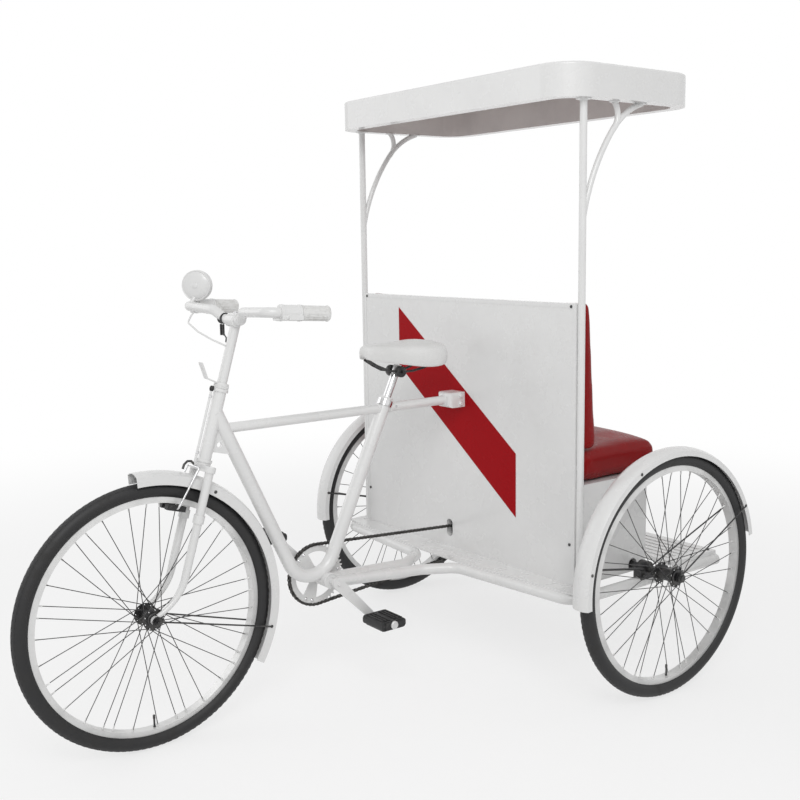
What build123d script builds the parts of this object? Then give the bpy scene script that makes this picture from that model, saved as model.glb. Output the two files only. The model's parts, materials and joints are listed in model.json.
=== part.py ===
from build123d import *
import os
from math import atan2, cos, degrees, pi, radians, sin, tan

# Cycle rickshaw: a bicycle front end that pushes a two-wheeled passenger body.
# Millimetres. +X is forward, +Y is the rider's left, +Z is up, and the ground is z = 0.
# Places along the vehicle are given as u, the distance ahead of the rear axle.

# ---- wheels ------------------------------------------------------------------------
wheel_r = 350.0          # tyre tread radius
tyre_r = 20.0            # tyre section radius
tyre_seat = 3.0          # depth of the tyre's seat in the rim
rim_depth = 15.0
rim_half = 14.0
rim_slope = 105.0        # degrees, base angle of the rim's section
spoke_r = 1.1
spoke_pairs = 9          # leading and trailing spokes on each flange
spoke_sweep = 62.0       # degrees from a spoke's flange hole to its rim hole
spoke_spread = 1.7       # leading spokes lie outside the flange, trailing ones inside it
spoke_inset = 4.0        # spoke holes, inside the flange's edge
spoke_base = 3.0         # spoke ends on the rim, from its middle
flange_t = 2.4
flange_y = 27.0
front_flange_r = 29.0
front_barrel_r = 15.0
front_hub_half = 33.0
front_axle_r = 5.0
front_bore_gap = 0.5
rear_flange_r = 30.0
rear_barrel_r = 18.0
hub_half = 34.0
axle_r = 10.0
axle_end_r = 8.0
axle_stub = 18.0         # axle end beyond the rear hub
free_gap = 0.4           # left hub on its axle end
run_gap = 0.3            # axle in its bearings

# ---- passenger body ----------------------------------------------------------------
panel_u = 244.0          # front face
panel_t = 20.0
panel_h = 786.0
box_half = 490.0         # half width of the panel, the seat box and its pads
box_back = -56.0
box_wall = 15.0
box_h = 284.0
deck_drop = 17.0         # deck under the rear axle's line
floor_t = 4.0
floor_step = 40.0        # the deck narrows this far behind the panel
cushion_h = 98.0
cushion_back = -102.0
back_low_t = 60.0
back_top_t = 24.0
chain_slot_w = 28.0
chain_slot_h = 56.0
chain_slot_up = 60.0     # centre of the panel's chain slot above the deck
floor_slot_u = 90.0
floor_slot_len = 270.0
post_r = 10.0
brace_r = 8.0
canopy_rise = 535.0      # canopy's lower edge above the panel
canopy_out = 42.0        # canopy's edge beyond the panel
canopy_front = 327.0
canopy_back = -205.0
canopy_h = 89.0
canopy_wall = 40.0
lining_t = 2.0
canopy_roof = 10.0
canopy_corner = 100.0
canopy_edge = 7.0
footboard_w = 200.0
footboard_t = 12.0

# ---- lower rails -------------------------------------------------------------------
rail_r = 16.0
rail_out = 45.0          # rail's centre line beyond the seat box
rail_neck = 21.0
rail_back = -330.0
rail_bend = 55.0
neck_drop = 8.0
waist_u, waist_half = 190.0, 38.0          # stations of the rails ahead of the panel
shoulder_u, shoulder_half = 92.0, 95.0
corner_u = 50.0
bearing_half = 14.0
bearing_wall = 12.0
bearing_foot = 64.0
hub_gap = 37.0           # bearing block to hub

# ---- main frame --------------------------------------------------------------------
bb_u = 750.0
bb_drop = 8.0            # bottom bracket under the line of the axles
bb_r = 22.0
bb_half = 34.0
front_reach = 188.0      # bottom bracket to the back of the front tyre
spindle_r = 9.0
main_r = 19.0
main_bend = 78.0
seat_angle = 65.0
down_angle = 65.0
down_up = 134.0          # down tube's axis meets the head tube this far up it
seat_tube_h = 500.0
seat_ahead = 2.0         # seat tube's axis ahead of the bottom bracket
top_tube_r = 13.5
top_tube_up = 470.0
boss_len = 62.0          # rounded block that carries the top tube on the panel
boss_half = 30.0
boss_h = 46.0
boss_round = 14.0
boss_depth = 12.0        # how far the top tube enters the boss
gusset_t = 8.0
gusset_head = 105.0      # gusset under the down tube: its reach on each tube
gusset_down = 135.0
gusset_eye_r = 7.0
gusset_eye_at = 88.0
seat_post_r = 12.0
seat_post_h = 100.0
clamp_wall = 4.0
clamp_h = 18.0
saddle_back = 340.0
saddle_rise = 84.0       # underside of the saddle above the seat tube

# ---- steering ----------------------------------------------------------------------
head_angle = 73.0
fork_offset = 54.0
crown_gap = 12.4         # fender to fork crown
crown_h = 16.0
crown_wall = 3.0
race_h = 6.0             # lower headset race
head_tube_h = 196.0
head_tube_r = 17.0
head_bore_r = 15.0
steerer_r = 12.7
cup_r = 21.0
cup_h = 8.0
race_r = 19.0
lock_h = 12.0
turn_gap = 0.4           # between the fork and the headset cups
stem_r = 13.0
stem_rise = 170.0
stem_joint = 3.6         # lamp bracket's plate and its gap under the stem
fork_half = 42.0         # from the centre plane to each fork leg
stanchion_r = 11.5
stanchion_h = 122.0
collar_r = 14.5
collar_h = 22.0
blade_top_r = 11.0
blade_mid_r = 10.5
blade_low_r = 6.0
blade_bend_s = 120.0     # where the blades start to curve forward
blade_end_s = 12.0
dropout_r = 12.0
dropout_t = 13.0

# ---- handlebar ---------------------------------------------------------------------
bar_r = 13.0
bar_reach = 27.0         # centre of the clamp to the foremost run
bar_half = 240.0         # centre plane to the grips' ends
bar_corner = 220.0
bar_rise = 31.0
bar_bend = 28.0
bar_set = 8.0            # bar's clamp ahead of the steering axis
bar_clamp_half = 20.0
bar_clamp_wall = 4.5
grip_r = 18.5
grip_len = 72.0
grip_cap = 4.0
grip_end_back = 132.0    # grips' ends behind the clamp
grip_drop = 10.0
perch_r = 20.0
perch_len = 56.0
lever_w = 12.0
lever_t = 4.0
bell_r = 42.0
bell_t = 20.0
bell_turn = 40.0
bell_round = 6.0
bell_rise = 86.0
bell_side = 200.0
bell_stalk_r = 6.0
lamp_hole_r = 3.25
lamp_strap_t = 3.0
lamp_strap_half = 10.0
lamp_reach = 48.0
lamp_lean = 14.0
lamp_rise = 42.0
lamp_hole_at = 0.62      # share of the upright strap below the hole

# ---- drive -------------------------------------------------------------------------
chain_pitch = 12.7
ring_teeth = 44
sprocket_teeth = 16
chain_y = -48.0
chain_half = 4.0
chain_t = 8.4
chain_gap = 0.5
plate_t = 3.2            # chainring and sprocket plates
ring_band = 16.0
spider_r = 24.0
spider_arms = 3
spider_turn = 50.0
sprocket_hub_r = 20.0
sprocket_hub_half = 9.0
crank_len = 160.0
crank_angle = 46.0       # the left crank hangs this far below the rear horizontal
crank_y = 66.0
crank_t = 12.0
crank_root_r = 16.0
crank_tip_r = 11.0
pedal_y = 132.0
pedal_half = 46.0
pedal_len = 84.0
pedal_h = 26.0
pedal_pin_r = 5.0
pedal_pin_inset = 1.6

# ---- fenders, stays and brake ------------------------------------------------------
front_gap = 28.0         # tyre to fender
rear_gap = 14.0
fender_t = 1.6
fender_w = 56.0
fender_crown = 7.0
front_skirt = 24.0
rear_skirt = 14.0
rear_fender_front = -4.0
rear_fender_end = 170.0
front_fender_front = 86.0
front_fender_end = 212.0
stay_r = 2.2
eye_r = 13.0
eye_t = 2.8
brace_stay_r = 3.2
rear_stay_angle = 154.0
rear_brace_angle = 12.0
front_stay_angle = 196.0
brake_r = 3.0
brake_ahead = 14.0       # stirrup's rods in front of the stanchions
pad_angle = 106.0
pad_drop = 11.0
pad_y = 17.0
pad_w, pad_t, pad_len = 17.0, 14.0, 52.0
pull_r = 3.4
cable_r = 2.4

# ---- trim --------------------------------------------------------------------------
stripe_t = 0.8
stripe_h = 190.0
# Ends of the stripe's middle line: side, height on the panel
stripe_left, stripe_left_up = 255.0, 247.0
stripe_right, stripe_right_up = -297.0, 652.0

# ---- places worked out from the sizes above ----------------------------------------
rim_r = wheel_r - 2 * tyre_r + tyre_seat
rim_low = rim_r - rim_depth
front_fender_r = wheel_r + front_gap
rear_fender_r = wheel_r + rear_gap
wheelbase = bb_u + front_reach + wheel_r
rear_reach = (rear_fender_r + fender_t) * cos(radians(180 - rear_fender_end))
rear_x = -(wheelbase + wheel_r - rear_reach) / 2
front_x = rear_x + wheelbase
panel_low = wheel_r - deck_drop
panel_top = panel_low + panel_h
cushion_low = panel_low + box_h
rail_half = box_half + rail_out
rail_z = panel_low - floor_t - rail_r
wheel_y = rail_half + bearing_half + hub_gap + hub_half
axle_half = wheel_y + hub_half + axle_stub
canopy_low = panel_top + canopy_rise
canopy_half = box_half + canopy_out
bb_z = wheel_r - bb_drop
seat_tube_top = bb_z + seat_tube_h
top_tube_z = bb_z + top_tube_up
crown_s = front_fender_r + fender_t + crown_gap      # heights along the steering axis
head_tube_s = crown_s + crown_h + race_h
lock_s = head_tube_s + head_tube_h + turn_gap + lock_h
stem_low = lock_s + stem_joint
stem_top_s = lock_s + stem_rise
ring_pitch_r = chain_pitch / (2 * sin(pi / ring_teeth))
sprocket_pitch_r = chain_pitch / (2 * sin(pi / sprocket_teeth))
post_u = panel_u - panel_t / 2
post_y = box_half + post_r


def at(u, y, z):
    return (rear_x + u, y, z)


def side(y):
    """Side-view plane: local x is forward, local y is up."""
    return Plane(origin=(0, y, 0), x_dir=(1, 0, 0), z_dir=(0, -1, 0))


def facing(spot):
    """Plane that faces forward: local x is to the left, local y is up."""
    return Plane(origin=spot, x_dir=(0, 1, 0), z_dir=(1, 0, 0))


def rod(start, end, radius):
    """Round bar from one point to another."""
    span = Vector(*end) - Vector(*start)
    with BuildPart(Plane(origin=start, z_dir=span)) as bar:
        Cylinder(radius, span.length, align=(Align.CENTER, Align.CENTER, Align.MIN))
    return bar.part


def disc(x, y, z, radius, half):
    """Round plate across the vehicle, centred at a point."""
    return rod((x, y - half, z), (x, y + half, z), radius)


def bent_tube(points, bend, radius):
    """Round tube through the corner points, each corner rounded to the bend radius."""
    with BuildPart() as tube:
        with BuildLine() as route:
            FilletPolyline(*points, radius=bend)
        with BuildSketch(Plane(origin=route.line @ 0, z_dir=route.line % 0)):
            Circle(radius)
        sweep(path=route.line)
    return tube.part


def arc_tube(start, through, end, radius):
    """Round tube along one arc."""
    with BuildPart() as tube:
        with BuildLine() as route:
            ThreePointArc(start, through, end)
        with BuildSketch(Plane(origin=route.line @ 0, z_dir=route.line % 0)):
            Circle(radius)
        sweep(path=route.line)
    return tube.part


def export(builder, name):
    builder.part.label = name
    export_step(builder.part, f"parts/{name}.step")


os.makedirs("parts", exist_ok=True)

# ---- steering axis -----------------------------------------------------------------
lean = radians(head_angle)
axis_up = Vector(-cos(lean), 0, sin(lean))
axis_fwd = Vector(sin(lean), 0, cos(lean))
axis_foot = Vector(front_x, 0, wheel_r) - axis_fwd * fork_offset


def head_point(s, fwd=0.0, y=0.0):
    """A point s up the steering axis, fwd ahead of it and y to the left."""
    p = axis_foot + axis_up * s + axis_fwd * fwd
    return (p.X, y, p.Z)


def head_plane(s, fwd=0.0, y=0.0):
    return Plane(origin=head_point(s, fwd, y), x_dir=axis_fwd, z_dir=axis_up)


# ---- main frame --------------------------------------------------------------------
# The down tube bends under and back up into the seat tube as one tube.
down_slope = 1 / tan(radians(down_angle))
seat_slope = 1 / tan(radians(seat_angle))
meet_s = head_tube_s + down_up
meet_x, _, meet_z = head_point(meet_s)
seat_x = rear_x + bb_u + seat_ahead
apex_z = (seat_x + seat_slope * bb_z - meet_x + down_slope * meet_z) / (down_slope + seat_slope)
apex_x = meet_x - down_slope * (meet_z - apex_z)
seat_top_x = seat_x - seat_slope * seat_tube_h
main_route = [(meet_x, 0, meet_z), (apex_x, 0, apex_z), (seat_top_x, 0, seat_tube_top)]

with BuildPart() as main_tube:
    add(bent_tube(main_route, main_bend, main_r))
    with BuildSketch(head_plane(head_tube_s)):
        Circle(head_tube_r)
    extrude(amount=head_tube_h, mode=Mode.SUBTRACT)
    add(disc(rear_x + bb_u, 0, bb_z, spindle_r + run_gap, 2 * main_r), mode=Mode.SUBTRACT)
export(main_tube, "main_tube")

with BuildPart() as head_tube:
    with BuildSketch(head_plane(head_tube_s)):
        Circle(head_tube_r)
    extrude(amount=head_tube_h)
    with BuildSketch(head_plane(head_tube_s), head_plane(head_tube_s + head_tube_h - cup_h)):
        Circle(cup_r)
    extrude(amount=cup_h)
    with BuildSketch(head_plane(head_tube_s)):
        Circle(head_bore_r)
    extrude(amount=head_tube_h, mode=Mode.SUBTRACT)
export(head_tube, "head_tube")


def down_point(along):
    """A point on the down tube's axis, below where it meets the head tube."""
    return (meet_x - along * cos(radians(down_angle)), meet_z - along * sin(radians(down_angle)))


with BuildPart() as head_gusset:
    with BuildSketch(side(0)):
        with BuildLine():
            head_x, _, head_z = head_point(meet_s - gusset_head)
            Polyline((meet_x, meet_z), (head_x, head_z), down_point(gusset_down), close=True)
        make_face()
        half_turn = radians((180 - head_angle - down_angle) / 2)
        eye_turn = radians(-head_angle) - half_turn
        eye_x = meet_x + gusset_eye_at * cos(eye_turn)
        with Locations((eye_x, meet_z + gusset_eye_at * sin(eye_turn))):
            Circle(gusset_eye_r, mode=Mode.SUBTRACT)
    extrude(amount=gusset_t / 2, both=True)
    with BuildSketch(head_plane(head_tube_s)):
        Circle(head_tube_r)
    extrude(amount=head_tube_h, mode=Mode.SUBTRACT)
    add(main_tube.part, mode=Mode.SUBTRACT)
export(head_gusset, "head_gusset")

boss_x = rear_x + panel_u + boss_len
with BuildPart() as top_tube:
    top_x = meet_x - down_slope * (meet_z - top_tube_z)
    add(rod((top_x, 0, top_tube_z), (boss_x - boss_depth, 0, top_tube_z), top_tube_r))
    add(bent_tube(main_route, main_bend, main_r), mode=Mode.SUBTRACT)
export(top_tube, "top_tube")

with BuildPart() as panel_boss:
    with BuildSketch(Plane.XY.offset(top_tube_z - boss_h / 2)):
        with Locations((boss_x - boss_len / 2, 0)):
            Rectangle(boss_len, 2 * boss_half)
    extrude(amount=boss_h)
    fillet(panel_boss.edges().group_by(Axis.X)[-1], boss_round)
    add(top_tube.part, mode=Mode.SUBTRACT)
export(panel_boss, "panel_boss")

with BuildPart() as bottom_bracket:
    add(disc(rear_x + bb_u, 0, bb_z, bb_r, bb_half))
    add(disc(rear_x + bb_u, 0, bb_z, spindle_r + run_gap, bb_half), mode=Mode.SUBTRACT)
    add(main_tube.part, mode=Mode.SUBTRACT)
export(bottom_bracket, "bottom_bracket")

# Saddle outline: ahead of its back, half width; and its side: ahead of its back, height over the underside
saddle_low = seat_tube_top + saddle_rise
saddle_plan = ((0, 62), (18, 92), (50, 98), (95, 90), (150, 58), (200, 38), (268, 22))
saddle_side = ((0, 24), (8, 66), (48, 78), (200, 76), (258, 74), (268, 34), (160, 12), (90, 0), (30, 0))
with BuildPart() as saddle:
    with BuildSketch(Plane.XY.offset(saddle_low)):
        with BuildLine():
            left = [at(saddle_back + ahead, half, 0)[:2] for ahead, half in saddle_plan]
            right = [at(saddle_back + ahead, -half, 0)[:2] for ahead, half in reversed(saddle_plan)]
            Polyline(*left, *right, close=True)
        make_face()
    extrude(amount=saddle_side[2][1])
    with BuildSketch(side(0)):
        with BuildLine():
            profile = [(rear_x + saddle_back + ahead, saddle_low + up) for ahead, up in saddle_side]
            Polyline(*profile, close=True)
        make_face()
    extrude(amount=2 * saddle_plan[2][1], both=True, mode=Mode.INTERSECT)
export(saddle, "saddle")

with BuildPart() as seat_post:
    post_x = seat_top_x - seat_slope * seat_post_h
    add(rod((seat_top_x, 0, seat_tube_top), (post_x, 0, seat_tube_top + seat_post_h), seat_post_r))
    add(saddle.part, mode=Mode.SUBTRACT)
export(seat_post, "seat_post")

with BuildPart() as seat_clamp:
    ring_up = Vector(-seat_slope, 0, 1).normalized()
    ring_low = Vector(seat_top_x, 0, seat_tube_top) - ring_up * (clamp_h + 2 * clamp_wall)
    with BuildSketch(Plane(origin=tuple(ring_low), z_dir=ring_up)):
        Circle(main_r + clamp_wall)
        Circle(main_r, mode=Mode.SUBTRACT)
    extrude(amount=clamp_h)
    add(top_tube.part, mode=Mode.SUBTRACT)
export(seat_clamp, "seat_clamp")

# ---- lower rails -------------------------------------------------------------------
with BuildPart() as rails:
    for hand in (1, -1):
        route = [at(bb_u - spindle_r / 2, hand * rail_neck, bb_z - neck_drop),
                 at(panel_u + waist_u, hand * waist_half, rail_z),
                 at(panel_u + shoulder_u, hand * shoulder_half, rail_z),
                 at(panel_u + corner_u, hand * rail_half, rail_z),
                 at(rail_back, hand * rail_half, rail_z)]
        add(bent_tube(route, rail_bend, rail_r))
    add(rod(at(rail_back + rail_r, -rail_half, rail_z), at(rail_back + rail_r, rail_half, rail_z), rail_r))
    add(disc(rear_x + bb_u, 0, bb_z, bb_r, bb_half + rail_r), mode=Mode.SUBTRACT)
export(rails, "rails")

# ---- passenger body ----------------------------------------------------------------
with BuildPart() as front_panel:
    with BuildSketch(facing(at(panel_u - panel_t, 0, panel_low))):
        with Locations((0, panel_h / 2)):
            Rectangle(2 * box_half, panel_h)
        with Locations((chain_y, chain_slot_up)):
            SlotOverall(chain_slot_h, chain_slot_w, rotation=90, mode=Mode.SUBTRACT)
    extrude(amount=panel_t)
export(front_panel, "front_panel")

with BuildPart() as seat_box:
    box_len = panel_u - panel_t - box_back
    with BuildSketch(Plane.XY.offset(panel_low)):
        with Locations((rear_x + box_back + box_len / 2, 0)):
            Rectangle(box_len, 2 * box_half)
    extrude(amount=box_h)
    with BuildSketch(Plane.XY.offset(panel_low)):
        with Locations((rear_x + box_back + box_wall + box_len / 2, 0)):
            Rectangle(box_len, 2 * (box_half - box_wall))
    extrude(amount=box_h - box_wall, mode=Mode.SUBTRACT)
    add(disc(rear_x, 0, wheel_r, axle_r + axle_end_r, box_half + box_wall), mode=Mode.SUBTRACT)
export(seat_box, "seat_box")

with BuildPart() as seat_cushion:
    cushion_len = panel_u - panel_t - cushion_back
    with BuildSketch(Plane.XY.offset(cushion_low)):
        with Locations((rear_x + cushion_back + cushion_len / 2, 0)):
            Rectangle(cushion_len, 2 * box_half)
    extrude(amount=cushion_h)
export(seat_cushion, "seat_cushion")

with BuildPart() as seat_backrest:
    with BuildSketch(side(0)):
        with BuildLine():
            back_x = rear_x + panel_u - panel_t
            back_low = cushion_low + cushion_h
            Polyline((back_x, back_low), (back_x, panel_top), (back_x - back_top_t, panel_top),
                     (back_x - back_low_t, back_low), close=True)
        make_face()
    extrude(amount=box_half, both=True)
export(seat_backrest, "seat_backrest")

# Deck outline, left half: u, y. It fills the space between the rails and steps in behind the posts.
deck_half = ((panel_u + shoulder_u, shoulder_half), (panel_u + corner_u, rail_half),
             (panel_u - floor_step, rail_half), (panel_u - floor_step, box_half), (box_back, box_half))
with BuildPart() as floor_plate:
    with BuildSketch(Plane.XY.offset(panel_low - floor_t)):
        with BuildLine():
            left = [at(u, y, 0)[:2] for u, y in deck_half]
            right = [at(u, -y, 0)[:2] for u, y in reversed(deck_half)]
            Polyline(*left, *right, close=True)
        make_face()
        with Locations((rear_x + floor_slot_u, chain_y)):
            Rectangle(floor_slot_len, chain_slot_w, mode=Mode.SUBTRACT)
    extrude(amount=floor_t)
export(floor_plate, "floor_plate")

with BuildPart() as footboard:
    with BuildSketch(Plane.XY.offset(panel_low - floor_t)):
        with Locations((rear_x + rail_back + footboard_w / 2, 0)):
            Rectangle(footboard_w, 2 * rail_half)
    extrude(amount=footboard_t)
export(footboard, "footboard")

with BuildPart() as canopy:
    depth = canopy_front - canopy_back
    canopy_mid = rear_x + (canopy_front + canopy_back) / 2
    with BuildSketch(Plane.XY.offset(canopy_low)):
        with Locations((canopy_mid, 0)):
            RectangleRounded(depth, 2 * canopy_half, canopy_corner)
    extrude(amount=canopy_h)
    fillet(canopy.edges().group_by(Axis.Z)[-1], canopy_edge)
    with BuildSketch(Plane.XY.offset(canopy_low)):
        with Locations((canopy_mid, 0)):
            inner_half = canopy_half - canopy_wall
            RectangleRounded(depth - 2 * canopy_wall, 2 * inner_half, canopy_corner - canopy_wall)
    extrude(amount=canopy_h - canopy_roof, mode=Mode.SUBTRACT)
export(canopy, "canopy")

# Sheet that lines the inside of the canopy's roof and walls.
with BuildPart() as canopy_lining:
    with BuildSketch(Plane.XY.offset(canopy_low)):
        with Locations((canopy_mid, 0)):
            RectangleRounded(depth - 2 * canopy_wall, 2 * inner_half, canopy_corner - canopy_wall)
    extrude(amount=canopy_h - canopy_roof)
    lining_wall = canopy_wall + lining_t
    with BuildSketch(Plane.XY.offset(canopy_low)):
        with Locations((canopy_mid, 0)):
            RectangleRounded(depth - 2 * lining_wall, 2 * (canopy_half - lining_wall),
                             canopy_corner - lining_wall)
    extrude(amount=canopy_h - canopy_roof - lining_t, mode=Mode.SUBTRACT)
export(canopy_lining, "canopy_lining")

with BuildPart() as canopy_posts:
    for hand in (1, -1):
        add(rod(at(post_u, hand * post_y, panel_low), at(post_u, hand * post_y, canopy_low), post_r))
export(canopy_posts, "canopy_posts")

# Each brace leaves its post, curves back and branches in two under the canopy.
# Three runs, each by its start, a middle point and its end: ahead of the post, below the canopy.
brace_runs = (((0, 319), (-44, 184), (-112, 76)), ((-112, 76), (-132, 34), (-118, 0)),
              ((-112, 76), (-160, 32), (-228, 0)))
with BuildPart() as canopy_braces:
    for hand in (1, -1):
        for run in brace_runs:
            spots = [at(post_u + ahead, hand * post_y, canopy_low - down) for ahead, down in run]
            first, middle, last = spots
            add(arc_tube(first, middle, last, brace_r))
        fork_ahead, fork_down = brace_runs[0][2]
        with Locations(at(post_u + fork_ahead, hand * post_y, canopy_low - fork_down)):
            Sphere(brace_r)
    add(canopy_posts.part, mode=Mode.SUBTRACT)
    add(canopy.part, mode=Mode.SUBTRACT)
    add(canopy_lining.part, mode=Mode.SUBTRACT)
export(canopy_braces, "canopy_braces")

# ---- wheels ------------------------------------------------------------------------
hub_specs = {
    # name: (x, y, flange radius, barrel radius, half length, bore radius)
    "front": (front_x, 0.0, front_flange_r, front_barrel_r, front_hub_half, front_axle_r + front_bore_gap),
    "rear_left": (rear_x, wheel_y, rear_flange_r, rear_barrel_r, hub_half, axle_end_r + free_gap),
    "rear_right": (rear_x, -wheel_y, rear_flange_r, rear_barrel_r, hub_half, axle_end_r),
}


def wheel_section(x, y):
    """Plane through the axle and the tread: local x is along the axle, local y is radial."""
    return facing((x, y, wheel_r))


def wheel_point(x, y, angle, radius):
    """A point on a circle about an axle; angles run from straight ahead, up over the top."""
    return (x + radius * cos(radians(angle)), y, wheel_r + radius * sin(radians(angle)))


for name, (x, y, flange_r, barrel_r, half, bore) in hub_specs.items():
    axle_line = Axis((x, y, wheel_r), (0, 1, 0))
    with BuildPart() as tyre:
        with BuildSketch(wheel_section(x, y)):
            with Locations((0, wheel_r - tyre_r)):
                Circle(tyre_r)
            with Locations((0, rim_r)):
                Rectangle(4 * tyre_r, 4 * tyre_r, align=(Align.CENTER, Align.MAX), mode=Mode.SUBTRACT)
        revolve(axis=axle_line)
    export(tyre, f"{name}_tyre")

    with BuildPart() as rim:
        with BuildSketch(wheel_section(x, y)):
            with Locations((0, rim_r - rim_depth / 2)):
                Trapezoid(2 * rim_half, rim_depth, rim_slope, rotation=180)
        revolve(axis=axle_line)
    export(rim, f"{name}_rim")

    with BuildPart() as hub:
        with BuildSketch(wheel_section(x, y)):
            with Locations((0, barrel_r / 2)):
                Rectangle(2 * half, barrel_r)
            for hand in (1, -1):
                with Locations((hand * flange_y, flange_r / 2)):
                    Rectangle(flange_t, flange_r)
            with Locations((0, bore / 2)):
                Rectangle(2 * half, bore, mode=Mode.SUBTRACT)
        revolve(axis=axle_line)
        for hand in (1, -1):
            for n in range(2 * spoke_pairs):
                turn = 180 / spoke_pairs * (n + (0 if hand > 0 else 0.5))
                lead = 1 if n % 2 else -1
                near_y = y + hand * (flange_y + lead * spoke_spread)
                far_y = y + hand * (spoke_base + lead * spoke_r)
                add(rod(wheel_point(x, near_y, turn, flange_r - spoke_inset),
                        wheel_point(x, far_y, turn + lead * spoke_sweep, rim_low - turn_gap), spoke_r))
    export(hub, f"{name}_hub")

# ---- axles -------------------------------------------------------------------------
nut_r, nut_t = 9.0, 7.0
eye_y = fork_half + dropout_t / 2 + eye_t / 2
with BuildPart() as front_axle:
    add(disc(front_x, 0, wheel_r, front_axle_r, eye_y + eye_t + 2 * nut_t))
    for hand in (1, -1):
        with BuildSketch(side(hand * (eye_y + eye_t / 2))):
            with Locations((front_x, wheel_r)):
                RegularPolygon(nut_r, 6)
        extrude(amount=-hand * nut_t)
export(front_axle, "front_axle")

big_nut_r, big_nut_t = 13.0, 8.0
rear_eye_y = axle_half - axle_stub + eye_t / 2 + 3.6
with BuildPart() as rear_axle:
    inner = wheel_y - hub_half - 1
    add(disc(rear_x, 0, wheel_r, axle_r, inner))
    for hand in (1, -1):
        add(rod((rear_x, hand * inner, wheel_r), (rear_x, hand * axle_half, wheel_r), axle_end_r))
        with BuildSketch(side(hand * (axle_half - 2 - big_nut_t))):
            with Locations((rear_x, wheel_r)):
                RegularPolygon(big_nut_r, 6)
        extrude(amount=-hand * big_nut_t)
export(rear_axle, "rear_axle")


# ---- fenders and stays -------------------------------------------------------------
def fender(x, y, radius, skirt, first, last):
    """Crowned strip with straight skirts, bent over a wheel."""
    radial = Vector(cos(radians(first)), 0, sin(radians(first)))
    plane = Plane(origin=(x, y, wheel_r), x_dir=(0, 1, 0), z_dir=(radial.Z, 0, -radial.X))
    half, shoulder, top = fender_w / 2, radius - fender_crown, radius + fender_t
    with BuildPart() as strip:
        with BuildSketch(plane):
            with BuildLine():
                Line((-half, shoulder - skirt), (-half, shoulder))
                ThreePointArc((-half, shoulder), (0, top), (half, shoulder))
                Line((half, shoulder), (half, shoulder - skirt))
                Line((half, shoulder - skirt), (half - fender_t, shoulder - skirt))
                Line((half - fender_t, shoulder - skirt), (half - fender_t, shoulder - fender_t))
                ThreePointArc((half - fender_t, shoulder - fender_t), (0, radius),
                              (fender_t - half, shoulder - fender_t))
                Line((fender_t - half, shoulder - fender_t), (fender_t - half, shoulder - skirt))
                Line((fender_t - half, shoulder - skirt), (-half, shoulder - skirt))
            make_face()
        revolve(axis=Axis((x, y, wheel_r), (0, -1, 0)), revolution_arc=last - first)
    return strip.part


with BuildPart() as front_fender:
    add(fender(front_x, 0, front_fender_r, front_skirt, front_fender_front, front_fender_end))
export(front_fender, "front_fender")

with BuildPart() as rear_fenders:
    for hand in (1, -1):
        add(fender(rear_x, hand * wheel_y, rear_fender_r, rear_skirt, rear_fender_front, rear_fender_end))
export(rear_fenders, "rear_fenders")

stay_y = fender_w / 2 + stay_r / 2
front_skirt_r = front_fender_r - fender_crown - front_skirt / 2
rear_skirt_r = rear_fender_r - fender_crown - rear_skirt / 2
with BuildPart() as front_stays:
    for hand in (1, -1):
        add(disc(front_x, hand * eye_y, wheel_r, eye_r, eye_t / 2))
        add(rod(wheel_point(front_x, hand * eye_y, front_stay_angle, eye_r - stay_r / 2),
                wheel_point(front_x, hand * stay_y, front_stay_angle, front_skirt_r), stay_r))
    add(disc(front_x, 0, wheel_r, front_axle_r, axle_half), mode=Mode.SUBTRACT)
    add(front_fender.part, mode=Mode.SUBTRACT)
export(front_stays, "front_stays")

with BuildPart() as bearing_blocks:
    for hand in (1, -1):
        with BuildSketch(side(hand * rail_half)):
            with Locations((rear_x, rail_z)):
                Rectangle(bearing_foot, wheel_r - rail_z, align=(Align.CENTER, Align.MIN))
            with Locations((rear_x, wheel_r)):
                Circle(axle_r + bearing_wall)
                Circle(axle_r + run_gap, mode=Mode.SUBTRACT)
        extrude(amount=bearing_half, both=True)
    add(rails.part, mode=Mode.SUBTRACT)
export(bearing_blocks, "bearing_blocks")

with BuildPart() as rear_stays:
    for hand in (1, -1):
        inner_y = hand * (rail_half + bearing_half)
        outer_y = hand * rear_eye_y
        add(rod(wheel_point(rear_x, inner_y, rear_stay_angle, axle_r + bearing_wall / 2),
                wheel_point(rear_x, hand * (wheel_y - stay_y), rear_stay_angle, rear_skirt_r), stay_r))
        add(disc(rear_x, outer_y, wheel_r, eye_r, eye_t / 2))
        add(rod(wheel_point(rear_x, outer_y, rear_stay_angle, eye_r - stay_r / 2),
                wheel_point(rear_x, hand * (wheel_y + stay_y), rear_stay_angle, rear_skirt_r), stay_r))
        add(rod(wheel_point(rear_x, inner_y, rear_brace_angle, axle_r + bearing_wall / 2),
                wheel_point(rear_x, hand * (wheel_y - stay_y), rear_brace_angle, rear_skirt_r),
                brace_stay_r))
    add(disc(rear_x, 0, wheel_r, axle_end_r + run_gap, 2 * axle_half), mode=Mode.SUBTRACT)
    add(rails.part, mode=Mode.SUBTRACT)
    add(bearing_blocks.part, mode=Mode.SUBTRACT)
    add(rear_fenders.part, mode=Mode.SUBTRACT)
export(rear_stays, "rear_stays")


# ---- drive -------------------------------------------------------------------------
def belt(offset):
    """Outline of a band around the two chain wheels, moved out by the offset."""
    with BuildSketch(side(chain_y)) as outline:
        with Locations((rear_x + bb_u, bb_z)):
            Circle(ring_pitch_r + offset)
        with Locations((rear_x, wheel_r)):
            Circle(sprocket_pitch_r + offset)
        make_hull()
    return outline.sketch


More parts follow.
